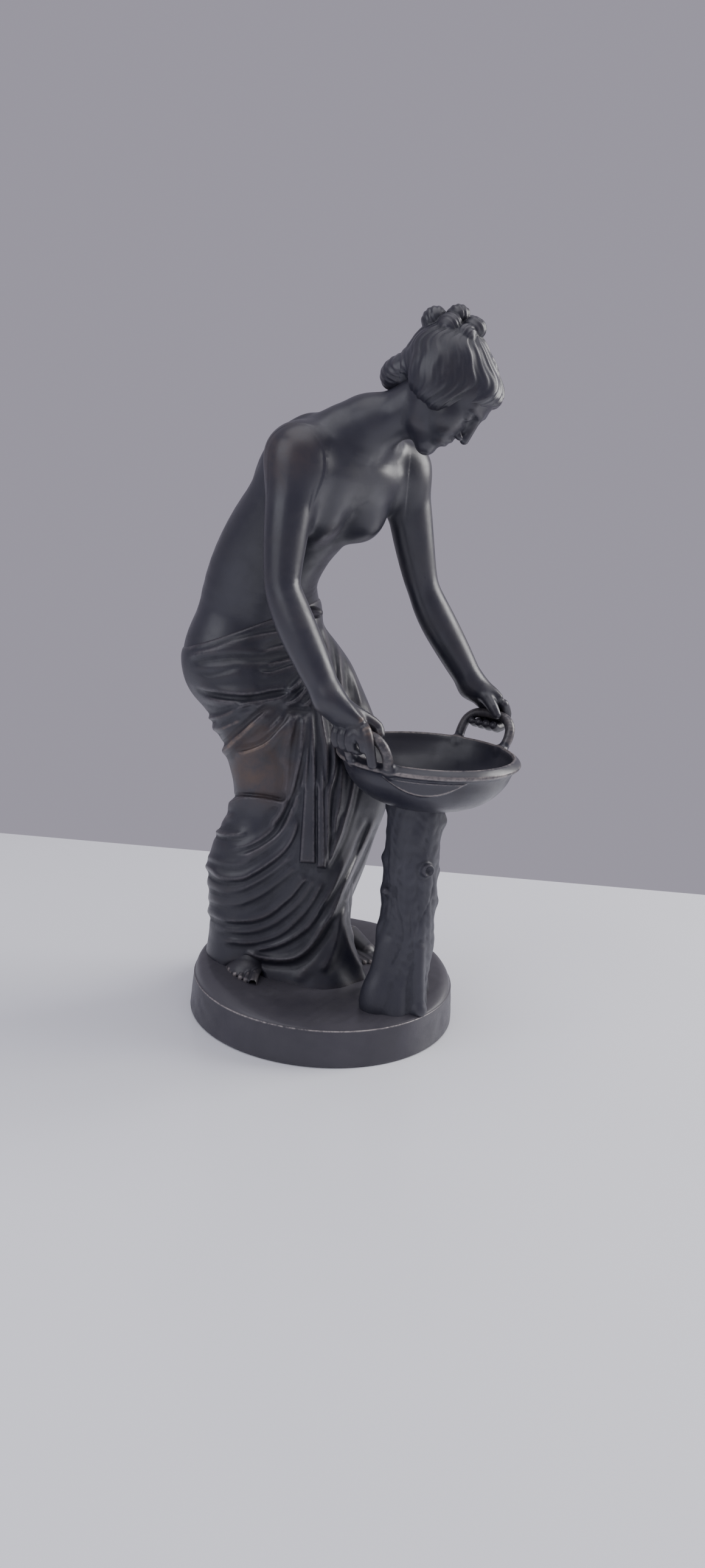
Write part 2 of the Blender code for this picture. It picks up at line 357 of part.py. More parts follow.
# fold lines are drawn on an upright board in front of the figure, in sheet units, as the piece is looked at from the left:
# (points, half-width left of the line's way, half-width right of it, height)
EYE=(9.44,-634.4,303.2); BOARD_Y=-20.0
def sheet(u,v):
    """place on the board (x,z) of a point of the drawing sheet"""
    p,r=np.radians(14.45),np.radians(-4.2); a,b=u-579.5,v-1288.0
    s,t=a*np.cos(r)-b*np.sin(r),-(a*np.sin(r)+b*np.cos(r))
    k=(BOARD_Y-EYE[1])/(1860*np.cos(p)+t*np.sin(p))
    return EYE[0]+s*k,EYE[2]+(-1860*np.sin(p)+t*np.cos(p))*k
NEAR=[
 ([(308,1072),(325,1056),(345,1043),(365,1032),(385,1024),(410,1019),(440,1016),(475,1010)],1.1,3.6,1.0),
 ([(309,1080),(330,1071),(350,1066),(375,1057),(400,1050),(430,1043),(460,1038),(495,1028)],1.1,4.5,1.3),
 ([(311,1087),(350,1083),(385,1080),(420,1080),(450,1077),(475,1075),(505,1068)],2.4,2.4,-1.3),
 ([(425,1075),(445,1067),(465,1061),(495,1053)],1.2,3,.9),([(438,1094),(455,1089),(475,1083),(505,1074)],1.0,3,1.1),
 ([(420,1104),(440,1106),(455,1103),(470,1098),(485,1093),(508,1083)],1.1,3.5,1.4),([(312,1106),(340,1115),(360,1113),(385,1106),(402,1102)],1.6,4,.6),
 ([(320,1126),(345,1133),(365,1137),(385,1139),(405,1140),(425,1138),(445,1133),(465,1131),(485,1130),(510,1120)],4.0,1.3,1.7),
 ([(330,1147),(360,1152),(390,1156),(410,1155),(435,1152),(455,1149),(470,1143),(480,1133),(490,1122),(498,1112),(510,1098)],1.8,2.3,2.0),
 ([(460,1157),(478,1155),(490,1147),(500,1135),(509,1124),(522,1108)],1.5,2.6,2.5),([(488,1162),(502,1159),(510,1151),(517,1143),(531,1126)],1.5,2.4,2.2),
 ([(466,1164),(485,1164),(500,1165),(512,1160)],2.6,2.6,-2.0),
 ([(316,1183),(348,1180),(365,1176),(385,1167),(405,1158),(425,1154)],1.4,1.4,1.5),([(322,1204),(348,1193),(365,1184),(385,1175),(405,1168),(420,1162),(442,1156)],1.6,2.6,1.5),
 ([(326,1207),(350,1200),(365,1197),(385,1188),(402,1179)],1.6,1.8,1.2),([(343,1250),(364,1234),(375,1227),(385,1217),(400,1204),(415,1190),(430,1177),(448,1163)],1.6,3.6,2.5),
 ([(383,1237),(400,1237),(415,1233),(432,1226),(445,1217),(457,1204),(466,1194),(474,1184),(481,1170)],1.4,4.6,1.9),([(438,1206),(450,1193),(460,1183),(469,1172)],1.3,2,1.1),
 ([(489,1168),(481,1190),(474,1212),(468,1236),(464,1262)],1.6,2.6,1.5),([(500,1172),(498,1200),(495,1235),(489,1262),(482,1290),(474,1313),(461,1337),(442,1360)],1.5,3.0,2.4),
 ([(484,1188),(478,1220),(473,1255),(471,1285),(466,1308)],1.5,2.2,1.3),([(507,1172),(506,1205),(504,1240),(500,1275),(497,1300)],1.3,1.8,1.8),
 ([(513,1172),(514,1205),(515,1235),(518,1270),(521,1300)],1.2,1.4,1.6),([(526,1148),(529,1175),(534,1205),(538,1235),(537,1270),(531,1302)],1.4,2.0,2.3),
 ([(545,1205),(551,1235),(552,1255),(549,1275),(542,1300),(539,1340),(538,1385),(532,1428)],1.3,2.4,2.5),([(562,1240),(563,1275),(560,1310),(553,1345),(546,1380)],1.4,2.0,1.6),
 ([(574,1250),(571,1285),(566,1315),(558,1348)],1.3,1.8,1.3),([(589,1250),(584,1280),(578,1310),(570,1340),(560,1372),(548,1400),(534,1430)],1.4,3.0,2.4),
 ([(356,1328),(376,1318),(392,1311),(405,1310),(430,1312),(447,1315),(462,1318),(475,1313)],.8,7.5,2.8),
 ([(357,1357),(364,1349),(373,1343),(388,1335)],1.4,3,1.2),([(328,1356),(350,1363),(362,1369),(375,1371),(392,1371),(407,1366)],2.2,1.3,2.0),
 ([(376,1393),(405,1388),(428,1377),(447,1362),(460,1345),(471,1325)],3,1.6,1.1),([(393,1409),(420,1399),(440,1387),(455,1375),(468,1358),(478,1335),(484,1318),(490,1298)],1.6,3,1.7),
 ([(322,1400),(344,1408),(362,1416),(385,1420),(405,1414),(427,1401)],3,2,1.1),
 ([(323,1416),(344,1427),(355,1437),(365,1442),(380,1444),(400,1442),(420,1432),(440,1419),(460,1403),(475,1385),(484,1365),(489,1340)],4.2,1.5,2.7),
 ([(321,1444),(343,1452),(365,1461),(390,1462),(415,1452),(440,1437),(462,1420),(481,1402)],3.4,1.8,1.0),([(322,1468),(344,1476),(370,1484),(395,1484),(425,1472),(450,1455),(473,1436),(489,1424)],3,1.6,.9),
 ([(324,1490),(346,1500),(370,1511),(395,1513),(418,1511),(440,1503),(460,1488),(480,1470),(494,1452),(506,1438)],3.8,1.5,2.0),
 ([(352,1523),(385,1530),(415,1530),(445,1520),(472,1502),(495,1479),(508,1458),(516,1442)],3.4,1.6,1.1),([(362,1544),(400,1549),(430,1546),(460,1535),(485,1515),(505,1492),(520,1468),(531,1446)],3,1.6,1.4),
 ([(602,1340),(583,1385),(563,1430),(545,1465),(528,1490),(515,1512),(498,1530),(470,1547),(445,1556),(415,1561)],1.5,2.6,1.8),
 ([(621,1335),(600,1385),(580,1430),(565,1460),(555,1485),(545,1505),(530,1525),(520,1542),(505,1560),(492,1570),(475,1576),(450,1577),(425,1573),(403,1564)],1.5,2.6,2.8),
 ([(637,1325),(614,1385),(594,1430),(577,1462),(564,1487)],1.3,1.5,1.4),
 ([(400,1570),(425,1583),(455,1588),(485,1587),(506,1577),(521,1561),(536,1539),(549,1516)],2.2,2.6,-2.0),
 ([(557,1492),(557,1525),(552,1552),(542,1577),(526,1600)],2.4,3.4,2.2),([(566,1488),(567,1520),(574,1548),(588,1577),(602,1594)],1.3,2.6,2.6),
 ([(571,1515),(585,1542),(603,1562),(620,1575)],1.5,2,2.6),([(574,1507),(595,1538),(618,1560)],1.2,1.8,2.0),
 ([(505,1588),(497,1600),(485,1614)],3,3,1.0),
 ([(527,1010),(535,1040),(540,1062),(544,1090),(546,1120),(545,1150)],1.2,2.2,1.8),([(544,1008),(553,1040),(559,1075),(562,1110),(565,1145)],1.2,2,1.9),
 ([(548,1010),(563,1045),(575,1078),(583,1105),(590,1135),(596,1165)],1.2,2.2,1.9),([(540,1004),(562,1028),(580,1058),(595,1098),(602,1135),(608,1165),(620,1190)],1.3,2,1.5),
 ([(520,1012),(522,1040),(528,1070),(532,1100),(534,1130)],1.4,1.6,1.2)]
TAILS=[((512,1215),(505.5,1417),2.0,4.4,1.9),((527,1230),(528,1425),1.6,2.1,1.7)]   # hanging ends: top, bottom, half-widths, rise
def pdist(X,Z,pts):
    """distance to a smooth line through the points, place along it, and side (+ left of its way)"""
    P=spl(pts,4*len(pts)); best=np.full(X.shape,1e9); s=np.zeros(X.shape); c=np.ones(X.shape); m=len(P)-1
    for i in range(m):
        a=P[i]; d=P[i+1]-a; px,pz=X-a[0],Z-a[1]; t=np.clip((px*d[0]+pz*d[1])/(d@d),0,1)
        q=(px-t*d[0])**2+(pz-t*d[1])**2; k=q<best; best=np.where(k,q,best); s=np.where(k,(i+t)/m,s); c=np.where(k,d[0]*pz-d[1]*px,c)
    return np.sqrt(best),s,c
SHEET_X=np.arange(-116.0,76.0,.5); SHEET_Z=np.arange(6.0,262.0,.5)
def relief(folds,tails):
    X,Z=np.meshgrid(SHEET_X,SHEET_Z,indexing='ij'); R=np.zeros(X.shape)
    for pts,wl,wr,h in folds:
        pts=np.array([sheet(u,v) for u,v in pts]); w=max(wl,wr)*2.8; lo=pts.min(0)-w; hi=pts.max(0)+w
        a=slice(max(int((lo[0]-SHEET_X[0])*2),0),int((hi[0]-SHEET_X[0])*2)+1); b=slice(max(int((lo[1]-SHEET_Z[0])*2),0),int((hi[1]-SHEET_Z[0])*2)+1)
        d,s,c=pdist(X[a,b],Z[a,b],pts); L=np.linalg.norm(np.diff(pts,axis=0),axis=1).sum(); f=min(7.0/L,.35)
        fade=sstep(s/f+.12)*sstep((1-s)/f+.08); wide=np.where(c>0,wl,wr); nar=min(wl,wr)
        v=np.exp(-(d/wide)**2)-.30*np.exp(-((d-1.5*nar-.6)/(1.0*nar))**2)*(wide<=nar*1.01)
        R[a,b]+=(.9-.2*(pts[:,1].mean()<112))*h*fade*v
    for a,b,wa,wb,h in tails:
        a=sheet(*a); b=sheet(*b)
        t=np.clip((Z-a[1])/(b[1]-a[1]),0,1); xc=a[0]+(b[0]-a[0])*t; w=wa+(wb-wa)*t
        R+=h*sstep((w-np.abs(X-xc))/1.0+.5)*sstep((Z-b[1])/.9+.5)*sstep((a[1]-Z)/30+.1)
    return R.astype(f32)
def laid(R,x,y,z):
    """relief of the board carried along the lines of sight to points of a block"""
    k=f32(BOARD_Y-EYE[1])/(y-f32(EYE[1]))
    u=(f32(EYE[0])+(x-f32(EYE[0]))*k-f32(SHEET_X[0]))*2; v=(f32(EYE[2])+(z-f32(EYE[2]))*k-f32(SHEET_Z[0]))*2
    u=np.clip(u,0,len(SHEET_X)-1.01); v=np.clip(v,0,len(SHEET_Z)-1.01); i=u.astype(np.int32); j=v.astype(np.int32); a=(u-i).astype(f32); b=(v-j).astype(f32)
    return (R[i,j]*(1-a)+R[i+1,j]*a)*(1-b)+(R[i,j+1]*(1-a)+R[i+1,j+1]*a)*b
def cloth(F,k=1.0):
    T=like(F); pelvis(T)
    b=F.box(V(-104,-60,18),V(52,78,246)); sl,x,y,z=b
    d,cx,cy=cloth_base(x,y,z)
    d=smin(d,T.f[sl]-f32(1.2),5)
    wn=sstep((cy+6-y)/24+.5).astype(f32)
    gx,gy=[g.astype(f32) for g in np.gradient(d,F.h,axis=(0,1))]
    wn=wn*np.where(gx>0,1-(1-sstep((f32(.10)-gy)/f32(.35)))*sstep(gx/f32(.3)),1).astype(f32)
    # back and far side: long falling folds
    ph=np.arctan2(y-cy,x-cx)
    q=ph*7+0.010*(z-120)+1.1*np.sin(z*.021+ph*2)
    amp=(.8+1.4*sstep((170-z)/120))*sstep((226-z)/26)
    back=(np.cos(q)*.6+np.cos(q*1.9+1.3)*.35+.25*np.cos(2*q)).astype(f32)*amp.astype(f32)
    sw=(np.sin(z*.15+1.9*np.sin(ph*1.3+.4)+1.3*np.sin(z*.043+.8))*(.5+.4*sstep((110-z)/60))*sstep((x*-1+cx+5)/30+.5)).astype(f32)
    d=d-laid(relief(NEAR,TAILS),x,y,z)*wn-(back*.85+sw*.8)*(1-wn)
    e=np.maximum(f32(215)+f32(.41)*(x+84)-z,0); d=smax(d,T.f[sl]-(f32(1.9)+f32(.55)*e+f32(.02)*e*e),4)      # hugs the waist
    d=smax(d,z-(f32(215)+f32(.41)*(x+84)),1.6)
    d=smax(d,f32(20)-z,1)
    F.f[sl]=smin(F.f[sl],d,k)
    add(F,ell(V(-19.5,1,236.5),(5.6,5,3.6)),4)                     # roll of cloth at the belly
    add(F,chain([(0,-5.5,78),(8.5,-8.8,50),(22.8,-6.6,22)],[3.4,4.8,3.0]),9)     # hem drawn out to a point near the trunk
    add(F,ell(V(-47.5,-30,25.6),(15,14.5,8.2)),3,'sub')                 # hem lifted over the right foot
def feet(F):
    # right foot turned outwards, toes showing under the hem
    m=unit(V(.97,-.24,0)); fo=unit(V(-.24,-.97,0))
    add(F,cone((-41,6,50),(-44.5,-20,31.0),11,7.0,UP,.85),4); add(F,ell(V(-46,-16.5,28.6),(10.8,13.5,5.4),np.array([m,fo,UP])),5)
    T=[((-38.4,-22,29.4),(-39.4,-34.4,26.9),2.9,2.6),((-42.0,-22.5,30.2),(-43.3,-33.4,27.6),2.0,1.8),((-45.4,-21.5,30.5),(-46.7,-31.6,28.0),1.95,1.75),((-48.8,-19,30.8),(-50.1,-28.8,28.6),1.9,1.7),((-52.0,-15,30.9),(-53.5,-24.4,29.4),1.8,1.6)]
    for a,b,ra,rb in T: add(F,chain([a,((a[0]+b[0])/2,(a[1]+b[1])/2,(a[2]+b[2])/2+1.0),b],[ra,rb*.98,rb]),.65)
    # left foot
    add(F,cone((14,34,32),(25,25,27),8.5,6.5,UP,.8),4)
    for i in range(5):
        o=V(.8,.6,0)*(4.2-i*4.3); a=V(23,23,26)+o; b=V(32-i*.4,12.5+i*1.2,24.2)+o*.9; add(F,cone(a,b,3.2-i*.25,2.9-i*.25),1.3)
# ---------------------------------------------------------------- ground, trunk and basin
LIP_A=np.radians([-180,-160,-140,-122,-105,-85,-60,-42,-25,-5,20,60,100,140,180]); LIP_H=np.array([9.5,8.5,6.0,3.6,1.6,.5,.4,.8,2.6,5.5,8.0,9,9,9.5,9.5])
def ground(x,y):
    rho=np.sqrt(x*x+y*y); a=np.arctan2(y,x); lip=np.interp(a,LIP_A,LIP_H)
    t=np.clip((rho-69.5)/7.0,0,1); P=np.where(rho>69.5,np.sqrt(np.maximum(1-t*t,0)),1-.72*sstep((69.5-rho)/48))
    rough=.10*np.sin(x*.19+2.1*np.sin(y*.11+.5)+1)*np.sin(y*.23+1.3*np.sin(x*.09))+.07*np.sin(x*.43+y*.31+2*np.sin(y*.17))*np.sin(x*.13-y*.37)+.05*np.sin(x*.83-y*.61+1.5*np.sin(x*.21))
    return 21.3+lip*P+(rough+.25)*sstep((75-rho)/8)+1.2*np.exp(-((x-38)**2+(y+40)**2)/260)
def rim_cut(x,y,z,gap): return (ground(x,y)+gap-z)
TRUNK_C=[(43.5,-35.5,10),(44.2,-35.5,30),(45.6,-34.5,60),(45.6,-33,85),(45.6,-32.2,110),(45.4,-30.8,128),(45.6,-30.3,142)]
def trunk(F,k=0,fine=False):
    C=spl(TRUNK_C,24)
    b=F.box(V(14,-66,16),V(76,-6,150)); sl,x,y,z=b
    zz=z.ravel(); cx=np.interp(zz,C[:,2],C[:,0]).reshape(z.shape).astype(f32); cy=np.interp(zz,C[:,2],C[:,1]).reshape(z.shape).astype(f32)
    X=x-cx; Y=y-cy; a=np.arctan2(Y,X); r=np.sqrt(X*X+Y*Y)
    R=14.7+2.6*np.exp(-np.maximum(z-20,0)/12)+.5*sstep((z-112)/20)
    R=R+.7*np.cos(3*a+.012*z+.6)*sstep((120-z)/70)+.45*np.sin(2*a-1.1+.03*z)
    R=R+.18*np.sin(9*a+1.5*np.sin(z*.06)+.05*z)*(.55+.45*np.sin(z*.11+a*2))+.10*np.sin(17*a+2.2*np.sin(z*.09+a))
    R=R+.22*np.sin(z*.30+3*np.sin(a*2+.4))*np.cos(a*3+.8)+.12*np.sin(z*.9+2.3*np.sin(a*5+z*.05))*np.sin(a*7+z*.13)
    for a0,w0,z0,zl,dp in [(-1.95,.22,78,30,.7),(-1.35,.15,62,26,.6),(-2.5,.2,95,22,.5),(-.9,.3,90,24,.5),(.4,.2,70,34,.7),(1.5,.25,88,30,.7),(2.4,.2,66,34,.6)]:
        dl=np.arctan2(np.sin(a-a0-w0*np.sin(z*.11+a0*3)),np.cos(a-a0-w0*np.sin(z*.11+a0*3)))*15
        R=R-.55*dp*np.exp(-(dl/.8)**2)*np.exp(-((z-z0)/zl)**4)
    d=(r-R)*f32(.92)
    for (A,z0,w,h) in [(178,107,4.5,1.9),(172,137,5,1.6),(186,66,6,1.8),(184,88,4,1.0),(-8,131,5,1.9),(4,84,5,1.4),(-2,58,7,1.2),(10,101,4,1.2),(-95,122,6,.8),(-110,80,7,.7),(-70,70,6,.8)]:
        dl=np.arctan2(np.sin(a-np.radians(A)),np.cos(a-np.radians(A)))*15
        d=d-f32(h)*np.exp(-(dl*dl+(z-z0)**2)/(w*w))
    F.f[sl]=smin(F.f[sl],d.astype(f32),k)
    # roots: a big lump in front on the left, smaller ones round about
    add(F,cone((34.5,-42,58),(31.5,-45.5,26),3.5,8.0),8); add(F,ell((30.8,-46,28),(7.4,7.2,13)),6)
    add(F,cone((53.5,-46,60),(55.6,-48,25),1.8,3.6),5); add(F,ell((55.8,-48.2,24),(4.4,4.4,4)),3)
    add(F,cone((44,-48,36),(43,-51,22),2.2,4.5),6)
    add(F,cone((56,-24,46),(58.5,-21,22),3,5),6); add(F,cone((33,-25,46),(30,-21,22),3,5),6)
    # sawn branch stub, hollow in the middle
    o=unit(V(.42,-.90,.10)); c=V(53.3,-45.2,106)
    add(F,cone(c-o*5,c+o*.8,4.6,3.9),1.6); add(F,ell(c+o*4.1,(2.6,2.6,2.9)),.8,'sub')
    o=unit(V(-.75,-.6,.25)); c=V(33.0,-42.5,91); add(F,cone(c-o*4,c+o*1.2,3.4,2.2),2)
    # top cut flat under the basin
    F.f[sl]=smax(F.f[sl],z-f32(140.9),.5)
# basin profile: (radius, height), inner side up, over the lip, outer side down
BOWL=[(0,142.0),(14,142.4),(25,144.4),(34,149.2),(40.5,155.6),(44.6,163.0),(46.0,167.6),(46.9,168.9),(48.2,168.5),(50.0,167.0),(51.0,165.6),(50.9,164.6),(49.9,163.6),(48.4,162.6),(46.8,160.0),(44.6,154.8),(40.5,149.2),(34.5,144.2),(27,140.6),(20,138.9),(13,138.2),(0,138.0)]
def arch(sgn,n=25,drop=0):
    """centre line of a loop handle; sgn +1 nearer the viewing side"""
    o=R1*sgn; g=T1; w=.82 if sgn>0 else 1.0; H=[(15.6*w,(48.4**2-(15.6*w)**2)**.5,164.8),(16.4*w,(50.6**2-(16.4*w)**2)**.5,168.8),(16.8*w,50.3,173.2),(15.6*w,52.7,178.4),(11.6*w,54.6,182.2),(6*w,55.4,183.5)]
    P=[(-t,r,z) for t,r,z in H]+[(0,55.5,183.7)]+H[::-1]
    return spl([V(BASIN_X,BASIN_Y,0)+g*t+o*r+UP*z for t,r,z in P],n)
# ---------------------------------------------------------------- building
def clear():
    for o in list(bpy.data.objects): bpy.data.objects.remove(o,do_unlink=True)
    for m in list(bpy.data.meshes): bpy.data.meshes.remove(m)
def material(name,col,rough,metal=1.0):
    m=bpy.data.materials.new(name); m.use_nodes=True
    b=m.node_tree.nodes["Principled BSDF"]; b.inputs["Base Color"].default_value=(*col,1); b.inputs["Roughness"].default_value=rough; b.inputs["Metallic"].default_value=metal
    return m
def turned(P):
    c,s=math.cos(TURN),math.sin(TURN); P=np.asarray(P,float)
    return np.stack([P[:,0]*c-P[:,1]*s,P[:,0]*s+P[:,1]*c,P[:,2]],1)*.001
def new_object(name,verts,faces,coll,mat=None,smooth=True):
    me=bpy.data.meshes.new(name); me.from_pydata([tuple(v) for v in verts],[],[tuple(int(i) for i in f) for f in faces]); me.update()
    if smooth: me.polygons.foreach_set("use_smooth",[True]*len(me.polygons))
    ob=bpy.data.objects.new(name,me); coll.objects.link(ob)
    if mat: me.materials.append(mat)
    return ob
def bake(ob):
    """the evaluated mesh replaces the modifiers"""
    dg=bpy.context.evaluated_depsgraph_get(); dg.update(); ev=ob.evaluated_get(dg)
    me=bpy.data.meshes.new_from_object(ev); mats=list(ob.data.materials)
    old=ob.data; ob.modifiers.clear(); ob.data=me; ob.data.name=ob.name
    if old.users==0: bpy.data.meshes.remove(old)
    return ob
def tidy(ob,smooth=True):
    bm=bmesh.new(); bm.from_mesh(ob.data)
    bmesh.ops.remove_doubles(bm,verts=bm.verts,dist=1e-6)
    bmesh.ops.dissolve_degenerate(bm,edges=bm.edges,dist=2e-7)
    bmesh.ops.triangulate(bm,faces=bm.faces)
    # keep the largest body
    bm.verts.ensure_lookup_table(); seen=set(); best=[]
    for v in bm.verts:
        if v.index in seen: continue
        st=[v]; comp=[]; seen.add(v.index)
        while st:
            q=st.pop(); comp.append(q)
            for e in q.link_edges:
                w=e.other_vert(q)
                if w.index not in seen: seen.add(w.index); st.append(w)
        if len(comp)>len(best): best=comp
    keep=set(v.index for v in best); bmesh.ops.delete(bm,geom=[v for v in bm.verts if v.index not in keep],context='VERTS')
    bmesh.ops.recalc_face_normals(bm,faces=bm.faces)
    bm.to_mesh(ob.data); bm.free()
    ob.data.polygons.foreach_set("use_smooth",[smooth]*len(ob.data.polygons)); ob.data.update()
    return ob
def field_object(name,F,coll,mat,tris):
    v,q=tets(F)
    ob=new_object(name,turned(v),q,coll,mat); tidy(ob)
    n=len(ob.data.polygons)
    m=ob.modifiers.new("Decimate","DECIMATE"); m.ratio=min(1,tris/n); m.use_collapse_triangulate=True
    return tidy(bake(ob))
def boolean(ob,cutter,op):
    m=ob.modifiers.new("Boolean","BOOLEAN"); m.operation=op; m.object=cutter; m.solver='EXACT'
    return tidy(bake(ob))
def turn_object(name,profile,steps,coll,mat=None):
    me=bpy.data.meshes.new(name); me.from_pydata([(r*.001,0,z*.001) for r,z in profile],[(i,i+1) for i in range(len(profile)-1)],[])
    ob=bpy.data.objects.new(name,me); coll.objects.link(ob)
    if mat: me.materials.append(mat)
    m=ob.modifiers.new("Screw","SCREW"); m.axis='Z'; m.angle=2*math.pi; m.steps=m.render_steps=steps; m.use_merge_vertices=True; m.merge_threshold=.00002; m.use_smooth_shade=True
    return ob
def bar(name,pts,rad,coll,res=3,flare=False):
    """a round bar along a path, as a bevelled curve turned to a mesh"""
    cu=bpy.data.curves.new(name,'CURVE'); cu.dimensions='3D'; s=cu.splines.new('POLY'); P=turned(pts); s.points.add(len(P)-1)
    m=len(P)-1
    for i,p in enumerate(P): s.points[i].co=(*p,1); s.points[i].radius=(.75 if i in (0,m) else 1.25 if i in (1,m-1) else 1) if flare else 1
    cu.bevel_depth=rad*.001; cu.bevel_resolution=res; cu.use_fill_caps=True
    ob=bpy.data.objects.new(name,cu); coll.objects.link(ob)
    dg=bpy.context.evaluated_depsgraph_get(); me=bpy.data.meshes.new_from_object(ob.evaluated_get(dg)); bpy.data.objects.remove(ob)
    o2=bpy.data.objects.new(name,me); coll.objects.link(o2); return tidy(o2)
def main():
    clear()
    top=bpy.data.collections.new("neoclassical_female_statue"); bpy.context.scene.collection.children.link(top)
    cut=bpy.data.collections.new("cutters"); cut.hide_render=True; bpy.context.scene.collection.children.link(cut)
    skin_m=material("bronze_patina",(.055,.045,.045),.38); base_m=material("plinth_bronze",(.06,.047,.05),.48)
    bowl_m=material("basin_bronze",(.05,.043,.046),.36); bark_m=material("trunk_bronze",(.045,.042,.048),.6)
    # plinth: turned drum, then the ground modelled on its top
    ring=[(0,25)]+[(r,25) for r in (14,29,44,57,66,71,74,75.9)]+[(r*1.0026,z) for r,z in ((PLINTH_TOP_R-.7,PLINTH_H),(PLINTH_TOP_R,PLINTH_H),(PLINTH_TOP_R+.3,PLINTH_H-.6),(PLINTH_R-.2,1.2),(PLINTH_R-.7,0))]+[(0,0)]
    plinth=turn_object("plinth",ring,44,top,base_m); bake(plinth)
    c,s=math.cos(-TURN),math.sin(-TURN)
    for v in plinth.data.vertices:
        if v.co.z>.0245:
            x,y=v.co.x*1000,v.co.y*1000; v.co.z=float(ground(x*c-y*s,x*s+y*c))*.001
    tidy(plinth)
    def raised(src,dz):
        o=bpy.data.objects.new("gap_cutter",src.data.copy()); cut.objects.link(o); o.data.transform(Matrix.Translation((0,0,dz*.001))); return o
    # basin: turned bowl, two loop handles on flared roots
    basin=turn_object("basin",[(p[0]*1.0038,p[1]) for i,p in enumerate(BOWL) if i not in (1,6,8,11,19,20)],36,top,bowl_m); bake(basin)
    off=turned([(BASIN_X,BASIN_Y,0)])[0]; basin.data.transform(Matrix.Translation(Vector(off))); tidy(basin)
    grips=[]
    for sg in (1,-1):
        P=arch(sg,13); grips.append(P); b=bar("handle_cutter",P,HANDLE_R,cut,1,True); boolean(basin,b,'UNION'); bpy.data.objects.remove(b)
    # trunk
    F=Field((12,-66,16),(76,-4,146),TRUNK_VOXEL); trunk(F)
    x,y,z=[a.reshape([-1 if i==j else 1 for j in range(3)]) for i,a in enumerate(F.ax)]
    F.f[:]=smax(F.f,(ground(x,y)-1.6-z).astype(f32),.2)
    tr=field_object("tree_trunk",F,top,bark_m,TRUNK_TRIS)
    for src,dz in ((plinth,GAP),(basin,-GAP)):
        c_=raised(src,dz); boolean(tr,c_,'DIFFERENCE'); bpy.data.objects.remove(c_)
    # figure
    F=Field((-104,-84,18),(104,80,404),FIGURE_VOXEL); skin(F); cloth(F); feet(F); hair(F); F.f-=f32(SWELL)
    x,y,z=[a.reshape([-1 if i==j else 1 for j in range(3)]) for i,a in enumerate(F.ax)]
    F.f[:]=smax(F.f,(ground(x,y)-1.6-z).astype(f32),.2)
    for P in grips: add(F,chain(P,[HANDLE_R+.75]*len(P)),.2,'sub')
    add(F,(V(-3,-80,140),V(104,30,176),lambda x,y,z: np.sqrt((x-BASIN_X)**2+(y-BASIN_Y)**2+0*z)-52.2+.5*np.maximum(z-170.5,0)*4+.5*np.maximum(150-z,0)),.2,'sub')
    fig=field_object("figure",F,top,skin_m,FIGURE_TRIS)
    c_=raised(plinth,GAP); boolean(fig,c_,'DIFFERENCE'); bpy.data.objects.remove(c_)
    for P in grips:
        b=bar("grip_cutter",P,HANDLE_R+GAP,cut,1); boolean(fig,b,'DIFFERENCE'); bpy.data.objects.remove(b)
    bpy.data.collections.remove(cut)
    for o in top.objects:
        n=len(o.data.polygons); print("NODE",o.name,n,[round(d*1000,1) for d in o.dimensions])
main()
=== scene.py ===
"""The looks of a patinated bronze statuette: a draped woman bending over a basin on a tree trunk."""
import bpy, bmesh, math
import numpy as np
from mathutils import Matrix, Vector


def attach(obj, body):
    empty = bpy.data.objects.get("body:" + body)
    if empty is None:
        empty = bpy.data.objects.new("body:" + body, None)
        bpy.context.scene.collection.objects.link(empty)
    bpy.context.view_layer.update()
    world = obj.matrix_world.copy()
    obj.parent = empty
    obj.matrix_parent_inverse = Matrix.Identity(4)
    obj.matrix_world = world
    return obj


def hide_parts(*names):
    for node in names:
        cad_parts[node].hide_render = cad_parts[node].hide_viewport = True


BASIN_X, BASIN_Y = 50.0, -25.0
# ---------------------------------------------------------------- field kit, working frame in millimetres
f32=np.float32
def V(*a): return np.array(a,float)
def unit(v): v=np.asarray(v,float); return v/np.linalg.norm(v)
def cross(a,b): return np.cross(a,b)
class Field:
    """A signed field on a regular grid, in millimetres: negative inside."""
    def __init__(s,lo,hi,h):
        s.h=float(h); s.lo=np.array(lo,float); s.n=np.ceil((np.array(hi,float)-s.lo)/h).astype(int)+1
        s.ax=[(s.lo[i]+h*np.arange(s.n[i])).astype(f32) for i in range(3)]
        s.f=np.full(tuple(s.n),40.0,f32)
    def box(s,lo,hi):
        i0=np.maximum(np.floor((np.array(lo)-s.lo)/s.h).astype(int),0)
        i1=np.minimum(np.ceil((np.array(hi)-s.lo)/s.h).astype(int)+1,s.n)
        if (i1<=i0).any(): return None
        sl=tuple(slice(a,b) for a,b in zip(i0,i1))
        x=s.ax[0][sl[0]][:,None,None]; y=s.ax[1][sl[1]][None,:,None]; z=s.ax[2][sl[2]][None,None,:]
        return sl,x,y,z
def like(F):
    G=Field(F.lo,F.lo+F.h,F.h); G.n=F.n.copy(); G.ax=F.ax; G.f=np.full(tuple(F.n),40.0,f32); return G
def smin(a,b,k):
    if k<=0: return np.minimum(a,b)
    h=np.maximum(k-np.abs(a-b),0)/k
    return np.minimum(a,b)-h*h*(k*0.25)
def smax(a,b,k): return -smin(-a,-b,k)
def sstep(t): t=np.clip(t,0,1); return t*t*(3-2*t)
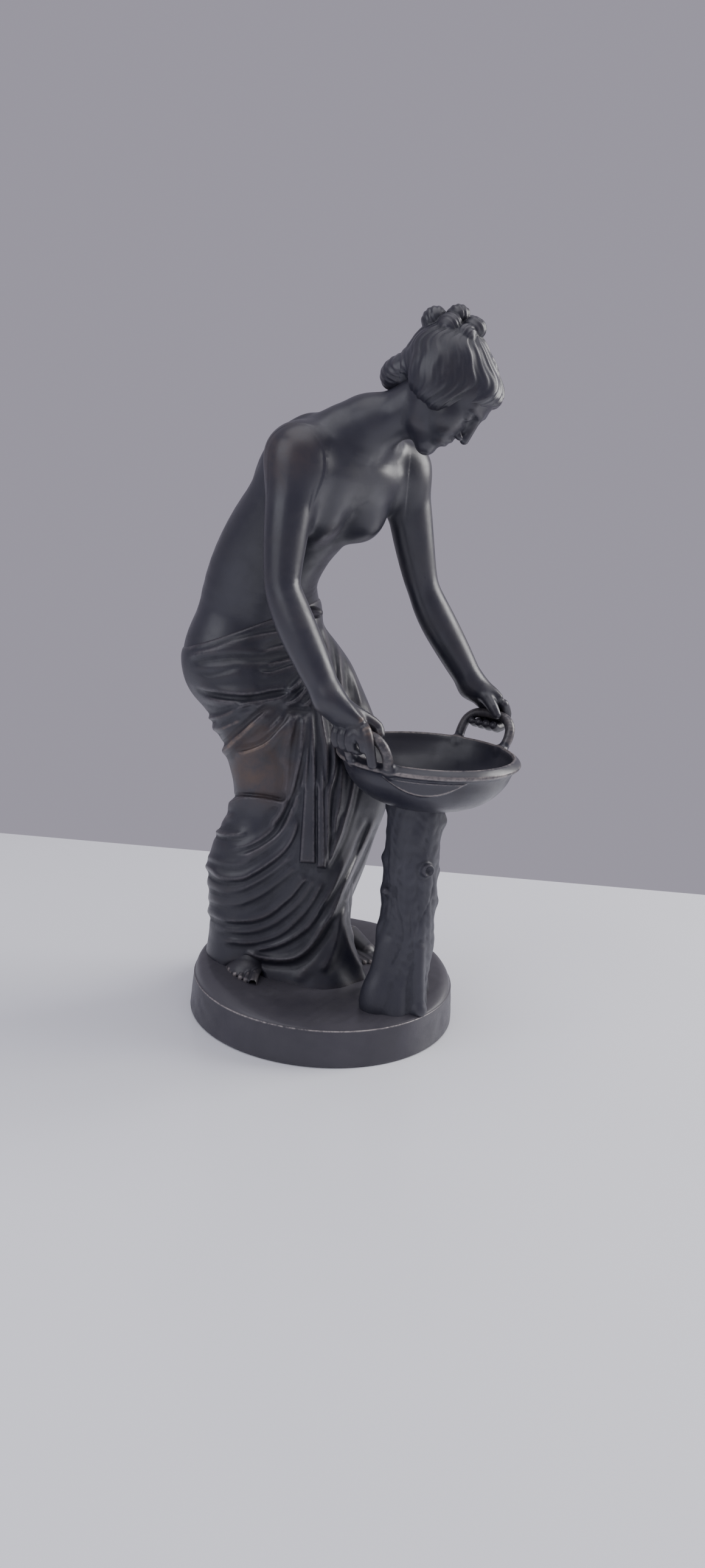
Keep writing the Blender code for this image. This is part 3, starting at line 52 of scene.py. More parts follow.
# --- primitives: each returns (lo,hi,func(x,y,z)->distance)
def ell(c,r,axes=None):
    c=np.asarray(c,float); r=np.asarray(r,float)
    A=np.eye(3) if axes is None else np.array(axes,float)
    e=np.sqrt((A.T**2@(r**2)))
    def fn(x,y,z):
        dx,dy,dz=x-f32(c[0]),y-f32(c[1]),z-f32(c[2])
        k0=0;k1=0
        for i in range(3):
            q=dx*f32(A[i,0])+dy*f32(A[i,1])+dz*f32(A[i,2])
            q=q*f32(1/r[i]); k0=k0+q*q; q=q*f32(1/r[i]); k1=k1+q*q
        k0=np.sqrt(k0); k1=np.sqrt(k1)+f32(1e-6)
        return k0*(k0-1)/k1
    return c-e,c+e,fn
def cone(a,b,ra,rb,flat=None,ff=1.0):
    a=np.asarray(a,float); b=np.asarray(b,float); d=b-a; L2=d@d
    R=max(ra,rb)
    def fn(x,y,z):
        px,py,pz=x-f32(a[0]),y-f32(a[1]),z-f32(a[2])
        t=np.clip((px*f32(d[0])+py*f32(d[1])+pz*f32(d[2]))*f32(1/L2),0,1)
        qx=px-t*f32(d[0]); qy=py-t*f32(d[1]); qz=pz-t*f32(d[2])
        if flat is not None:
            m=qx*f32(flat[0])+qy*f32(flat[1])+qz*f32(flat[2]); g=f32(1/ff-1)
            qx=qx+m*g*f32(flat[0]); qy=qy+m*g*f32(flat[1]); qz=qz+m*g*f32(flat[2])
        return np.sqrt(qx*qx+qy*qy+qz*qz)-(f32(ra)+t*f32(rb-ra))
    return np.minimum(a,b)-R,np.maximum(a,b)+R,fn
def chain(pts,rs,flat=None,ff=1.0):
    parts=[cone(pts[i],pts[i+1],rs[i],rs[i+1],flat,ff) for i in range(len(pts)-1)]
    lo=np.min([p[0] for p in parts],0); hi=np.max([p[1] for p in parts],0)
    def fn(x,y,z):
        d=None
        for p in parts:
            v=p[2](x,y,z); d=v if d is None else np.minimum(d,v)
        return d
    return lo,hi,fn
def bez(p,n):
    """points of a Bezier curve through control points p"""
    p=np.array(p,float); t=np.linspace(0,1,n)[:,None]; q=[p[i][None]*np.ones_like(t) for i in range(len(p))]
    while len(q)>1: q=[q[i]*(1-t)+q[i+1]*t for i in range(len(q)-1)]
    return q[0]
def spl(p,n):
    """Catmull-Rom curve through the points p, n points in all"""
    p=np.array(p,float); P=np.vstack([2*p[0]-p[1],p,2*p[-1]-p[-2]]); m=len(p)-1
    out=[]
    for u in np.linspace(0,m,n):
        i=min(int(u),m-1); t=u-i; a,b,c,d=P[i],P[i+1],P[i+2],P[i+3]
        out.append(0.5*((2*b)+(-a+c)*t+(2*a-5*b+4*c-d)*t*t+(-a+3*b-3*c+d)*t**3))
    return np.array(out)
def add(F,prim,k=0.0,mode='add',pad=None):
    lo,hi,fn=prim; pad=(k+2.5*F.h+1.0) if pad is None else pad
    b=F.box(lo-pad,hi+pad)
    if b is None: return
    sl,x,y,z=b; v=fn(x,y,z).astype(f32); g=F.f[sl]
    if mode=='add': F.f[sl]=smin(g,v,k)
    elif mode=='sub': F.f[sl]=smax(g,-v,k)
    elif mode=='and': F.f[sl]=smax(g,v,k)
    elif mode=='groove': F.f[sl]=g+v
# --- surface nets
def nets(F,lo=None,hi=None):
    f=F.f; n=f.shape
    s=f<0
    # cells with sign change
    c=s[:-1,:-1,:-1]
    cnt=np.zeros([k-1 for k in n],np.int8)
    for i in (0,1):
        for j in (0,1):
            for k in (0,1):
                cnt+=s[i:n[0]-1+i,j:n[1]-1+j,k:n[2]-1+k]
    act=(cnt>0)&(cnt<8)
    idx=np.full(act.shape,-1,np.int32); ci,cj,ck=np.nonzero(act); idx[ci,cj,ck]=np.arange(len(ci))
    P=np.zeros((len(ci),3)); C=np.zeros(len(ci))
    cor=[(i,j,k) for i in (0,1) for j in (0,1) for k in (0,1)]
    val={c:f[ci+c[0],cj+c[1],ck+c[2]].astype(float) for c in cor}
    for a in cor:
        for ax in range(3):
            if a[ax]: continue
            b=tuple(a[m]+(m==ax) for m in range(3)); va,vb=val[a],val[b]
            m=(va<0)!=(vb<0)
            t=np.where(m,va/np.where(m,va-vb,1),0)
            p=np.array(a,float)[None]+0*P; p[:,ax]+=t
            P[m]+=p[m]; C[m]+=1
    P/=C[:,None]
    verts=np.stack([ci,cj,ck],1)+P
    verts=F.lo+verts*F.h
    quads=[]
    for ax in range(3):
        u,v=[(1,2),(2,0),(0,1)][ax]
        sh=[slice(None)]*3; sh2=[slice(None)]*3
        sh[ax]=slice(0,-1); sh2[ax]=slice(1,None)
        a=s[tuple(sh)]; b=s[tuple(sh2)]
        e=np.nonzero(a!=b); e=np.array(e).T
        m=(e[:,u]>0)&(e[:,v]>0)&(e[:,u]<n[u]-1)&(e[:,v]<n[v]-1); e=e[m]
        def cell(du,dv):
            q=e.copy(); q[:,u]-=du; q[:,v]-=dv; return idx[q[:,0],q[:,1],q[:,2]]
        q=np.stack([cell(1,1),cell(0,1),cell(0,0),cell(1,0)],1)
        ins=s[e[:,0],e[:,1],e[:,2]]
        q[~ins]=q[~ins][:,::-1]
        quads.append(q)
    return verts,np.vstack(quads)

# ---------------------------------------------------------------- the woman and her drapery
FW=V(.7071,-.7071,0); LF=V(.7071,.7071,0); UP=V(0,0,1)
def evened(s,m):
    """running mean over 2m+1 cells along each axis"""
    for ax in range(3):
        if s.shape[ax]<2*m+2: continue
        c=np.cumsum(np.pad(s,[(m+1,m) if i==ax else (0,0) for i in range(3)],'edge'),axis=ax,dtype=f32); L=s.shape[ax]; k=[slice(None)]*3; j=[slice(None)]*3; k[ax]=slice(2*m+1,2*m+1+L); j[ax]=slice(0,L)
        s=(c[tuple(k)]-c[tuple(j)])*f32(1/(2*m+1))
    return s
def tube(pts,side,a,b,n=16,even=0):
    """body of elliptical sections along a smooth curve; side = direction of half-width a, b the other way"""
    pts=np.array(pts,float); m=len(pts); side=np.array(side,float)
    if side.ndim==1: side=np.repeat(side[None],m,0)
    a=np.atleast_1d(np.array(a,float)); b=np.atleast_1d(np.array(b,float))
    tab=spl(np.hstack([pts,side,a[:,None],b[:,None]]),n)
    C=tab[:,:3]; S=tab[:,3:6]; A=tab[:,6]; B=tab[:,7]
    T=np.gradient(C,axis=0); T/=np.linalg.norm(T,axis=1,keepdims=True)
    S=S-T*(S*T).sum(1,keepdims=True); S/=np.linalg.norm(S,axis=1,keepdims=True); D=np.cross(T,S)
    R=np.maximum(A,B)[:,None]
    lo=(C-R).min(0); hi=(C+R).max(0)
    u=np.arange(n)
    def fn(x,y,z):
        sh=np.broadcast_shapes(x.shape,y.shape,z.shape)
        best=np.full(sh,1e9,f32); s=np.zeros(sh,f32)
        for i in range(n-1):
            p=C[i]; d=C[i+1]-p; L2=d@d
            px,py,pz=x-f32(p[0]),y-f32(p[1]),z-f32(p[2])
            t=np.clip((px*f32(d[0])+py*f32(d[1])+pz*f32(d[2]))*f32(1/L2),0,1)
            qx=px-t*f32(d[0]); qy=py-t*f32(d[1]); qz=pz-t*f32(d[2])
            q=qx*qx+qy*qy+qz*qz; mk=q<best
            best=np.where(mk,q,best); s=np.where(mk,t+f32(i),s)
        if even: s=evened(s,max(1,int(round(even/abs(float(z.ravel()[1]-z.ravel()[0]))))))
        I=lambda w: np.interp(s,u,w).astype(f32)
        qx,qy,qz=x-I(C[:,0]),y-I(C[:,1]),z-I(C[:,2])
        l=qx*I(S[:,0])+qy*I(S[:,1])+qz*I(S[:,2]); d=qx*I(D[:,0])+qy*I(D[:,1])+qz*I(D[:,2])
        e=np.sqrt(np.maximum(qx*qx+qy*qy+qz*qz-l*l-d*d,0))
        ia,ib=1/I(A),1/I(B); ic=np.maximum(ia,ib)
        k0=np.sqrt((l*ia)**2+(d*ib)**2+(e*ic)**2); k1=np.sqrt((l*ia*ia)**2+(d*ib*ib)**2+(e*ic*ic)**2)+f32(1e-6)
        return k0*(k0-1)/k1
    return lo,hi,fn
# ---------- head frame
HC=V(41.8,-32,363); HU=V(.761,-.204,.616); HN=V(.595,-.159,-.788); HL=V(.259,.966,0)
def hp(l,n,u): return HC+HL*l+HN*n+HU*u
HAX=np.array([HL,HN,HU])
def hell(l,n,u,r): return ell(hp(l,n,u),r,HAX)
# ---------- thorax frame
TC=V(-14.9,-10.6,309); TU=V(.468,-.468,.743); TN=V(.52,-.52,-.669)
def tp(l,n,u): return TC+LF*l+TN*n+TU*u
TAX=np.array([LF,TN,TU])
def dent(F,prim,amp,w):
    """soft hollow (amp>0) or swelling (amp<0) along a primitive's distance"""
    lo,hi,fn=prim; p=w*2.2
    b=F.box(lo-p,hi+p)
    if b is None: return
    sl,x,y,z=b; d=np.maximum(fn(x,y,z),0); F.f[sl]+=f32(amp)*np.exp(-(d/w)**2).astype(f32)
TORSO=tube([(-50,23,200),(-51,20,226),(-49.5,12,252),(-40,3,275),(-25,-5,296),(-9,-15,315),(-1,-21,329),(5,-24,337)],LF,
               [41,40,34.5,33.5,34.5,33,22,14],[29,29,26,26,26.5,23.5,17,13],30,2.6)
def pelvis(F):
    add(F,TORSO)
    for s in (-1,1):
        add(F,ell(V(-56.5,17,207)+LF*15.5*s,(24,24,27),np.array([FW,LF,UP])),10)
def torso(F):
    pelvis(F)
    for s in (-1,1):
        add(F,ell(tp(15.5*s,20,-8),(13.5,12.5,14),TAX),8)           # breast
        add(F,ell(tp(19*s,13,7),(17,9,15),TAX),13)                  # chest muscle
        add(F,ell(tp(18*s,-18,4),(13,6,20),TAX),15)                  # shoulder blade
    # spine furrow
    dent(F,chain(spl([(-86,34,236),(-80,32,252),(-69,24,274),(-55,13,296),(-38,0,320),(-22,-10,338)],11),[.5]*11),1.7,4.5)
    # neck and shoulders
    add(F,cone((0,-24,336),(-25,-38,324),10.5,9.5),10)
    add(F,cone((4,-20,335),(20,6,321),10.5,9.5),10)
    add(F,tube([(-5,-22,331),(8,-26,338),(19,-29,343),(30,-31,350)],HL,[15,13.2,12.6,13.5],[15,13.2,12.6,13.5]),7)
    # collar bones
    dent(F,chain([tp(4,17,30),tp(14,16,31),tp(26,8,33)],[.5]*3),-.7,4)
    dent(F,chain([tp(-4,17,30),tp(-14,16,31),tp(-26,8,33)],[.5]*3),-.7,4)
def arm(F,S,E,Wr,near):
    S,E,Wr=np.array(S,float),np.array(E,float),np.array(Wr,float)
    d1=unit(E-S); d2=unit(Wr-E); h=unit(np.cross(d1,d2)); Ei=E+unit((S+Wr)/2-E)*1.8      # hinge direction, eased elbow
    add(F,ell(S,(12.6,12.6,13.2)),13)
    add(F,tube([S,S+(E-S)*.30,S+(E-S)*.60,E-d1*10+(Ei-E)*.3,Ei,E+d2*10+(Ei-E)*.3,E+(Wr-E)*.36,E+(Wr-E)*.62,E+(Wr-E)*.85,Wr],h,
               [12.4,12.2,11.4,10.1,9.5,10.1,10.6,10.1,9.1,8.6],[12.8,12.4,11.2,9.8,9.2,9.9,10.2,9.5,8.4,7.4],26,1.8),10)
def hand(F,W,B,o,g,near):
    """W wrist, B top of the handle bar, o outward, g along the bar to the index side"""
    W=np.array(W,float); B=np.array(B,float); o=unit(o); g=unit(g); z=UP
    K=B+o*3+z*6.5
    add(F,tube([W,W*.45+K*.55+o*.5,K],g,[8.6,10.4,11.0],[7.4,6.4,4.8]),5)
    gs=[8.2,2.9,-2.5,-7.5]; rs=[3.0,3.05,2.9,2.6]
    for i,(q,r) in enumerate(zip(gs,rs)):
        k=B+g*q*0.97+o*3.4+z*6.6
        if i==0 and near:
            p=[k,B+g*11.6+o*4.3+z*4.0,B+g*13.6+o*3.6+z*-3.0,B+g*14.2+o*1.2+z*-12]
        else:
            p=[k,B+g*q+o*6.9+z*1.0,B+g*q+o*5.6+z*-4.8,B+g*q-o*.6+z*-6.9,B+g*q-o*4.4+z*-5.2]
        p=spl(p,9); add(F,chain(p,np.linspace(r*1.05,r*.86,9)),1.2)
    if near: add(F,chain([B+g*6+o*5.0+z*3,B+g*9.5+o*4.2+z*.5,B+g*9.8+o*3.0+z*-4.4],[3.6,3.6,2.8]),2)      # web beside the straight finger
    p=spl([W*.6+K*.4+g*5-o*3,B+g*7-o*6.5+z*6.5,B+g*11-o*6.6+z*2],8)
    add(F,chain(p,np.linspace(4.2,2.6,8)),2.5)
R1=V(-.676,-.737,0); T1=V(.737,-.676,0); BC=V(50,-25,169)
def skin(F):
    torso(F)
    arm(F,(-31.5,-42,318),(-34.8,-54,253),(-6.0,-64.6,200.5),True)
    arm(F,(25,10,316),(40.5,19,251),(75,21,199),False)
    hand(F,(-6.0,-64.6,200.5),BC+R1*55.5+UP*12.6-T1*4.6,R1,T1,True)
    hand(F,(75,21,199),BC-R1*55.5+UP*14.4-T1*3,-R1,T1,False)
    head(F)
def fp(l,n,u): return hp(l,n+4,u)
def fell(l,n,u,r): return hell(l,n+4,u,r)
def head(F):
    add(F,fell(0,-2,3,(18.5,22.5,19.5)),0)
    add(F,fell(0,9,-10,(16.5,15,21)),6)
    add(F,fell(0,11,6,(16.5,12,13)),5)
    for s in (-1,1):
        add(F,fell(9.5*s,14,-9,(7.5,7.5,8)),4)
        add(F,cone(fp(14.5*s,0,-12),fp(10.5*s,8,-22),5.5,4.5),5)
        add(F,cone(fp(10.5*s,8,-22),fp(3*s,17,-27),4.5,4),4)
    add(F,fell(0,18.2,-27,(6,5,5)),3)
    add(F,cone(fp(3.5,22.3,3.6),fp(12,18.6,4.6),1.8,1.5),3); add(F,cone(fp(-3.5,22.3,3.6),fp(-12,18.6,4.6),1.8,1.5),3)
    for s in (-1,1): add(F,fell(8*s,25.2,-1.2,(5.6,4.6,3.6)),2.2,'sub')
    add(F,cone(fp(0,22,3),fp(0,27.4,-9.6),2.0,2.4),2.4)
    for s in (-1,1):
        add(F,fell(2.8*s,24.4,-10.6,(2.1,2.6,1.9)),1.2)
        add(F,fell(7.9*s,18.2,-1.2,(4.6,4.4,3.7)),.8)
    add(F,fell(0,19,-18,(8.5,4.6,5)),3)
    add(F,chain([fp(-5.6,20.6,-16.9),fp(-2,23.2,-15.7),fp(0,23.3,-16.1),fp(2,23.2,-15.7),fp(5.6,20.6,-16.9)],[.7,1.25,1.15,1.25,.7]),.9)
    add(F,chain([fp(-4.8,20.8,-18.4),fp(-1.8,22.7,-19.2),fp(1.8,22.7,-19.2),fp(4.8,20.8,-18.4)],[.7,1.5,1.5,.7]),.9)
def hair(F):
    H=like(F)
    add(H,hell(0,-2,3.0,(21.5,24,21.3)),0)
    for s_ in (-1,1): add(H,hell(15*s_,2,-5,(9,15,12)),6)            # waves over the ears
    add(H,hell(0,13.5,7,(16.5,17.2,14.5)),5)                                # roll above the brow
    add(H,hell(0,-14.5,-15.5,(12,8,11)),6); add(H,hell(0,-15.2,-21.6,(9.5,7.6,8)),5)                               # low bun at the nape
    # open the face
    add(H,hell(0,35,-8.8,(17.0,20.7,20.4)),7.5,'sub')
    b=H.box(HC-46,HC+46)
    sl,x,y,z=b
    dx,dy,dz=x-f32(HC[0]),y-f32(HC[1]),z-f32(HC[2])
    l=dx*f32(HL[0])+dy*f32(HL[1])+dz*f32(HL[2]); n=dx*f32(HN[0])+dy*f32(HN[1])+dz*f32(HN[2]); u=dx*f32(HU[0])+dy*f32(HU[1])+dz*f32(HU[2])
    # strands run from the hairline to the knot behind the crown
    ka=unit((0,-.55,.83)); c1=unit((1,0,0)); c2=np.cross(ka,c1)
    w=l*f32(ka[0])+n*f32(ka[1])+u*f32(ka[2]); p=l*f32(c1[0])+n*f32(c1[1])+u*f32(c1[2]); q=l*f32(c2[0])+n*f32(c2[1])+u*f32(c2[2])
    az=np.arctan2(p,q); pol=np.arctan2(np.sqrt(p*p+q*q),w)
    wav=az+.17*np.sin(pol*4.0+az*1.3)+.05*np.sin(pol*8.0+az*3)
    lock=(np.cos(wav*11+.8*np.sin(az*2.3))*.52+np.cos(wav*25+1.3*np.sin(pol*4))*.30+np.cos(wav*53+2*np.sin(pol*3+az))*.10)*(.72+.28*sstep((n+2)/14))
    bun=sstep((-9-n)/4)*sstep((-7-u)/4)
    edge=hell(0,35,-8.8,(17.0,20.7,20.4))[2](x,y,z); lock=lock*(.10+.90*sstep((edge-1)/6))       # the hair turns under in a smooth roll at the hairline
    H.f[sl]+=(.6*np.exp(-(l/1.0)**2)*sstep((n+4)/8)*sstep((pol-.35)/.2)*sstep((edge-2)/6)).astype(f32)                 # middle parting
    H.f[sl]-=(lock*f32(.60)*sstep((pol-.30)/.25)*(1-bun)+np.cos((u*.85-n*.5+.05*l*l)*(2*np.pi/3.5)+1.3*np.sin(l*.45+u*.3))*.13*bun).astype(f32)
    # coiled knots
    add(H,hell(0,-16,12,(10,9.5,8.5)),3)
    K=[(-3.5,-25.3,9.3,6.7,0.0),(6,-25,9.5,6.2,1.0),(-2.5,-19.8,20.0,5.9,2.0),(-3.5,-9.6,23.6,5.8,3.0),(6.5,-13,22,6.0,4.2),(7,-20,17.5,5.8,5.1),(-9.5,-17,14.5,6.2,.6),(10.5,-8,18.0,5.2,2.6),(-9.8,-8.5,19.0,5.0,1.7)]
    for (kl,kn,ku,r,ph0) in K:
        c=hp(kl,kn,ku); ax=unit(hp(kl*1.4,kn-6,ku)-hp(0,-8,8)); e1=unit(np.cross(ax,HN)); e2=np.cross(ax,e1)
        lo,hi,fn=ell(c,(r,r,r*.86),np.array([e1,e2,ax]))
        def f2(x,y,z,fn=fn,c=c,e1=e1,e2=e2,ax=ax,ph0=ph0,r=r):
            X,Y,Z=x-f32(c[0]),y-f32(c[1]),z-f32(c[2])
            a=X*f32(e1[0])+Y*f32(e1[1])+Z*f32(e1[2]); b_=X*f32(e2[0])+Y*f32(e2[1])+Z*f32(e2[2])
            t=a*f32(np.cos(ph0))+b_*f32(np.sin(ph0)); w_=b_*f32(np.cos(ph0))-a*f32(np.sin(ph0))
            return fn(x,y,z)-(np.cos((t+f32(.07)*w_*w_)*f32(2*np.pi/2.7))*f32(.17)).astype(f32)
        add(H,(lo-1,hi+1,f2),.8)
    F.f[:]=smin(F.f,H.f,.8)
# ---------- cloth
ZS=np.array([16,22,30,42,53,68,83,101,113,126,138,150,160,169,184,205,220,232,240,250.])
RX=np.array([-46,-46,-47,-47,-47,-47.5,-48,-46.5,-44,-42,-42.5,-43.5,-45,-48.5,-52.5,-58,-58,-58,-58,-58.])
RY=np.array([2,2,2,2,2,1,0,-2,-3,-4,-3.5,-2,-1,0,2,5,9,11,12,12.])
RR=np.array([26,25,23,21.5,21.5,22,23,21.5,17.5,14.2,15,18,19.5,22.5,25,27,25,18,12,6.])
LX=np.array([6,4,1,-1,-2,1,4,7,9.5,12,11,6,1,-3,-12,-24,-33,-39,-42,-44.])
LY=np.array([24,25,29,31,32,30,27,24,22,20,20.5,22.5,24.5,26,29,34,37,37,36,32.])
LR=np.array([24,21,16,13.5,13,14.5,15.8,16.8,17.6,18.6,19.5,21,22.5,24,25.5,26,22,15,9,5.])
MX=np.array([-4,-4,-6,-8,-9,-10,-11,-12,-12,-13,-14,-17,-20,-23,-30,-38,-44,-48,-49,-50.])
MY=np.array([1,1,2,2,2,1,1,1,1,2,3,4,5,8,12,16,20,22,22,22.])
MR=np.array([27.5,26,24,22,21.5,21.5,21.5,22,22,22,23,24,25,27,29,31,28,20,12,6.])
def cap2(x,y,ax,ay,ra,bx,by,rb):
    dx,dy=bx-ax,by-ay; L2=dx*dx+dy*dy+1e-6
    t=np.clip(((x-ax)*dx+(y-ay)*dy)/L2,0,1)
    return np.sqrt((x-ax-t*dx)**2+(y-ay-t*dy)**2)-(ra+t*(rb-ra))
SM={}
def smooth_tab(z):
    zz=np.arange(0,270,1.0); g=np.exp(-(np.arange(-12,13)/5.0)**2); g/=g.sum(); out=[]
    for w in (RX,RY,RR,LX,LY,LR,MX,MY,MR):
        v=np.interp(zz,ZS,w); v=np.convolve(np.pad(v,12,'edge'),g,'valid'); out.append(np.interp(z,zz,v).astype(f32))
    return out
def cloth_base(x,y,z):
    zf=z.ravel(); t=[q.reshape(z.shape) for q in smooth_tab(zf)]
    rx,ry,rr,lx,ly,lr,mx,my,mr=t
    a=cap2(x,y,rx,ry,rr,mx,my,mr); b=cap2(x,y,mx,my,mr,lx,ly,lr); c=cap2(x,y,rx,ry,rr,lx,ly,lr)
    return smin(smin(a,b,6),c,6),(rx+lx)*.5,(ry+ly)*.5
# fold lines are drawn on an upright board in front of the figure, in sheet units, as the piece is looked at from the left:
# (points, half-width left of the line's way, half-width right of it, height)
EYE=(9.44,-634.4,303.2); BOARD_Y=-20.0
def sheet(u,v):
    """place on the board (x,z) of a point of the drawing sheet"""
    p,r=np.radians(14.45),np.radians(-4.2); a,b=u-579.5,v-1288.0
    s,t=a*np.cos(r)-b*np.sin(r),-(a*np.sin(r)+b*np.cos(r))
    k=(BOARD_Y-EYE[1])/(1860*np.cos(p)+t*np.sin(p))
    return EYE[0]+s*k,EYE[2]+(-1860*np.sin(p)+t*np.cos(p))*k
NEAR=[
 ([(308,1072),(325,1056),(345,1043),(365,1032),(385,1024),(410,1019),(440,1016),(475,1010)],1.1,3.6,1.0),
 ([(309,1080),(330,1071),(350,1066),(375,1057),(400,1050),(430,1043),(460,1038),(495,1028)],1.1,4.5,1.3),
 ([(311,1087),(350,1083),(385,1080),(420,1080),(450,1077),(475,1075),(505,1068)],2.4,2.4,-1.3),
 ([(425,1075),(445,1067),(465,1061),(495,1053)],1.2,3,.9),([(438,1094),(455,1089),(475,1083),(505,1074)],1.0,3,1.1),
 ([(420,1104),(440,1106),(455,1103),(470,1098),(485,1093),(508,1083)],1.1,3.5,1.4),([(312,1106),(340,1115),(360,1113),(385,1106),(402,1102)],1.6,4,.6),
 ([(320,1126),(345,1133),(365,1137),(385,1139),(405,1140),(425,1138),(445,1133),(465,1131),(485,1130),(510,1120)],4.0,1.3,1.7),
 ([(330,1147),(360,1152),(390,1156),(410,1155),(435,1152),(455,1149),(470,1143),(480,1133),(490,1122),(498,1112),(510,1098)],1.8,2.3,2.0),
 ([(460,1157),(478,1155),(490,1147),(500,1135),(509,1124),(522,1108)],1.5,2.6,2.5),([(488,1162),(502,1159),(510,1151),(517,1143),(531,1126)],1.5,2.4,2.2),
 ([(466,1164),(485,1164),(500,1165),(512,1160)],2.6,2.6,-2.0),
 ([(316,1183),(348,1180),(365,1176),(385,1167),(405,1158),(425,1154)],1.4,1.4,1.5),([(322,1204),(348,1193),(365,1184),(385,1175),(405,1168),(420,1162),(442,1156)],1.6,2.6,1.5),
 ([(326,1207),(350,1200),(365,1197),(385,1188),(402,1179)],1.6,1.8,1.2),([(343,1250),(364,1234),(375,1227),(385,1217),(400,1204),(415,1190),(430,1177),(448,1163)],1.6,3.6,2.5),
 ([(383,1237),(400,1237),(415,1233),(432,1226),(445,1217),(457,1204),(466,1194),(474,1184),(481,1170)],1.4,4.6,1.9),([(438,1206),(450,1193),(460,1183),(469,1172)],1.3,2,1.1),
 ([(489,1168),(481,1190),(474,1212),(468,1236),(464,1262)],1.6,2.6,1.5),([(500,1172),(498,1200),(495,1235),(489,1262),(482,1290),(474,1313),(461,1337),(442,1360)],1.5,3.0,2.4),
 ([(484,1188),(478,1220),(473,1255),(471,1285),(466,1308)],1.5,2.2,1.3),([(507,1172),(506,1205),(504,1240),(500,1275),(497,1300)],1.3,1.8,1.8),
 ([(513,1172),(514,1205),(515,1235),(518,1270),(521,1300)],1.2,1.4,1.6),([(526,1148),(529,1175),(534,1205),(538,1235),(537,1270),(531,1302)],1.4,2.0,2.3),
 ([(545,1205),(551,1235),(552,1255),(549,1275),(542,1300),(539,1340),(538,1385),(532,1428)],1.3,2.4,2.5),([(562,1240),(563,1275),(560,1310),(553,1345),(546,1380)],1.4,2.0,1.6),
 ([(574,1250),(571,1285),(566,1315),(558,1348)],1.3,1.8,1.3),([(589,1250),(584,1280),(578,1310),(570,1340),(560,1372),(548,1400),(534,1430)],1.4,3.0,2.4),
 ([(356,1328),(376,1318),(392,1311),(405,1310),(430,1312),(447,1315),(462,1318),(475,1313)],.8,7.5,2.8),
 ([(357,1357),(364,1349),(373,1343),(388,1335)],1.4,3,1.2),([(328,1356),(350,1363),(362,1369),(375,1371),(392,1371),(407,1366)],2.2,1.3,2.0),
 ([(376,1393),(405,1388),(428,1377),(447,1362),(460,1345),(471,1325)],3,1.6,1.1),([(393,1409),(420,1399),(440,1387),(455,1375),(468,1358),(478,1335),(484,1318),(490,1298)],1.6,3,1.7),
 ([(322,1400),(344,1408),(362,1416),(385,1420),(405,1414),(427,1401)],3,2,1.1),
 ([(323,1416),(344,1427),(355,1437),(365,1442),(380,1444),(400,1442),(420,1432),(440,1419),(460,1403),(475,1385),(484,1365),(489,1340)],4.2,1.5,2.7),
 ([(321,1444),(343,1452),(365,1461),(390,1462),(415,1452),(440,1437),(462,1420),(481,1402)],3.4,1.8,1.0),([(322,1468),(344,1476),(370,1484),(395,1484),(425,1472),(450,1455),(473,1436),(489,1424)],3,1.6,.9),
 ([(324,1490),(346,1500),(370,1511),(395,1513),(418,1511),(440,1503),(460,1488),(480,1470),(494,1452),(506,1438)],3.8,1.5,2.0),
 ([(352,1523),(385,1530),(415,1530),(445,1520),(472,1502),(495,1479),(508,1458),(516,1442)],3.4,1.6,1.1),([(362,1544),(400,1549),(430,1546),(460,1535),(485,1515),(505,1492),(520,1468),(531,1446)],3,1.6,1.4),
 ([(602,1340),(583,1385),(563,1430),(545,1465),(528,1490),(515,1512),(498,1530),(470,1547),(445,1556),(415,1561)],1.5,2.6,1.8),
 ([(621,1335),(600,1385),(580,1430),(565,1460),(555,1485),(545,1505),(530,1525),(520,1542),(505,1560),(492,1570),(475,1576),(450,1577),(425,1573),(403,1564)],1.5,2.6,2.8),
 ([(637,1325),(614,1385),(594,1430),(577,1462),(564,1487)],1.3,1.5,1.4),
 ([(400,1570),(425,1583),(455,1588),(485,1587),(506,1577),(521,1561),(536,1539),(549,1516)],2.2,2.6,-2.0),
 ([(557,1492),(557,1525),(552,1552),(542,1577),(526,1600)],2.4,3.4,2.2),([(566,1488),(567,1520),(574,1548),(588,1577),(602,1594)],1.3,2.6,2.6),
 ([(571,1515),(585,1542),(603,1562),(620,1575)],1.5,2,2.6),([(574,1507),(595,1538),(618,1560)],1.2,1.8,2.0),
 ([(505,1588),(497,1600),(485,1614)],3,3,1.0),
 ([(527,1010),(535,1040),(540,1062),(544,1090),(546,1120),(545,1150)],1.2,2.2,1.8),([(544,1008),(553,1040),(559,1075),(562,1110),(565,1145)],1.2,2,1.9),
 ([(548,1010),(563,1045),(575,1078),(583,1105),(590,1135),(596,1165)],1.2,2.2,1.9),([(540,1004),(562,1028),(580,1058),(595,1098),(602,1135),(608,1165),(620,1190)],1.3,2,1.5),
 ([(520,1012),(522,1040),(528,1070),(532,1100),(534,1130)],1.4,1.6,1.2)]
TAILS=[((512,1215),(505.5,1417),2.0,4.4,1.9),((527,1230),(528,1425),1.6,2.1,1.7)]   # hanging ends: top, bottom, half-widths, rise
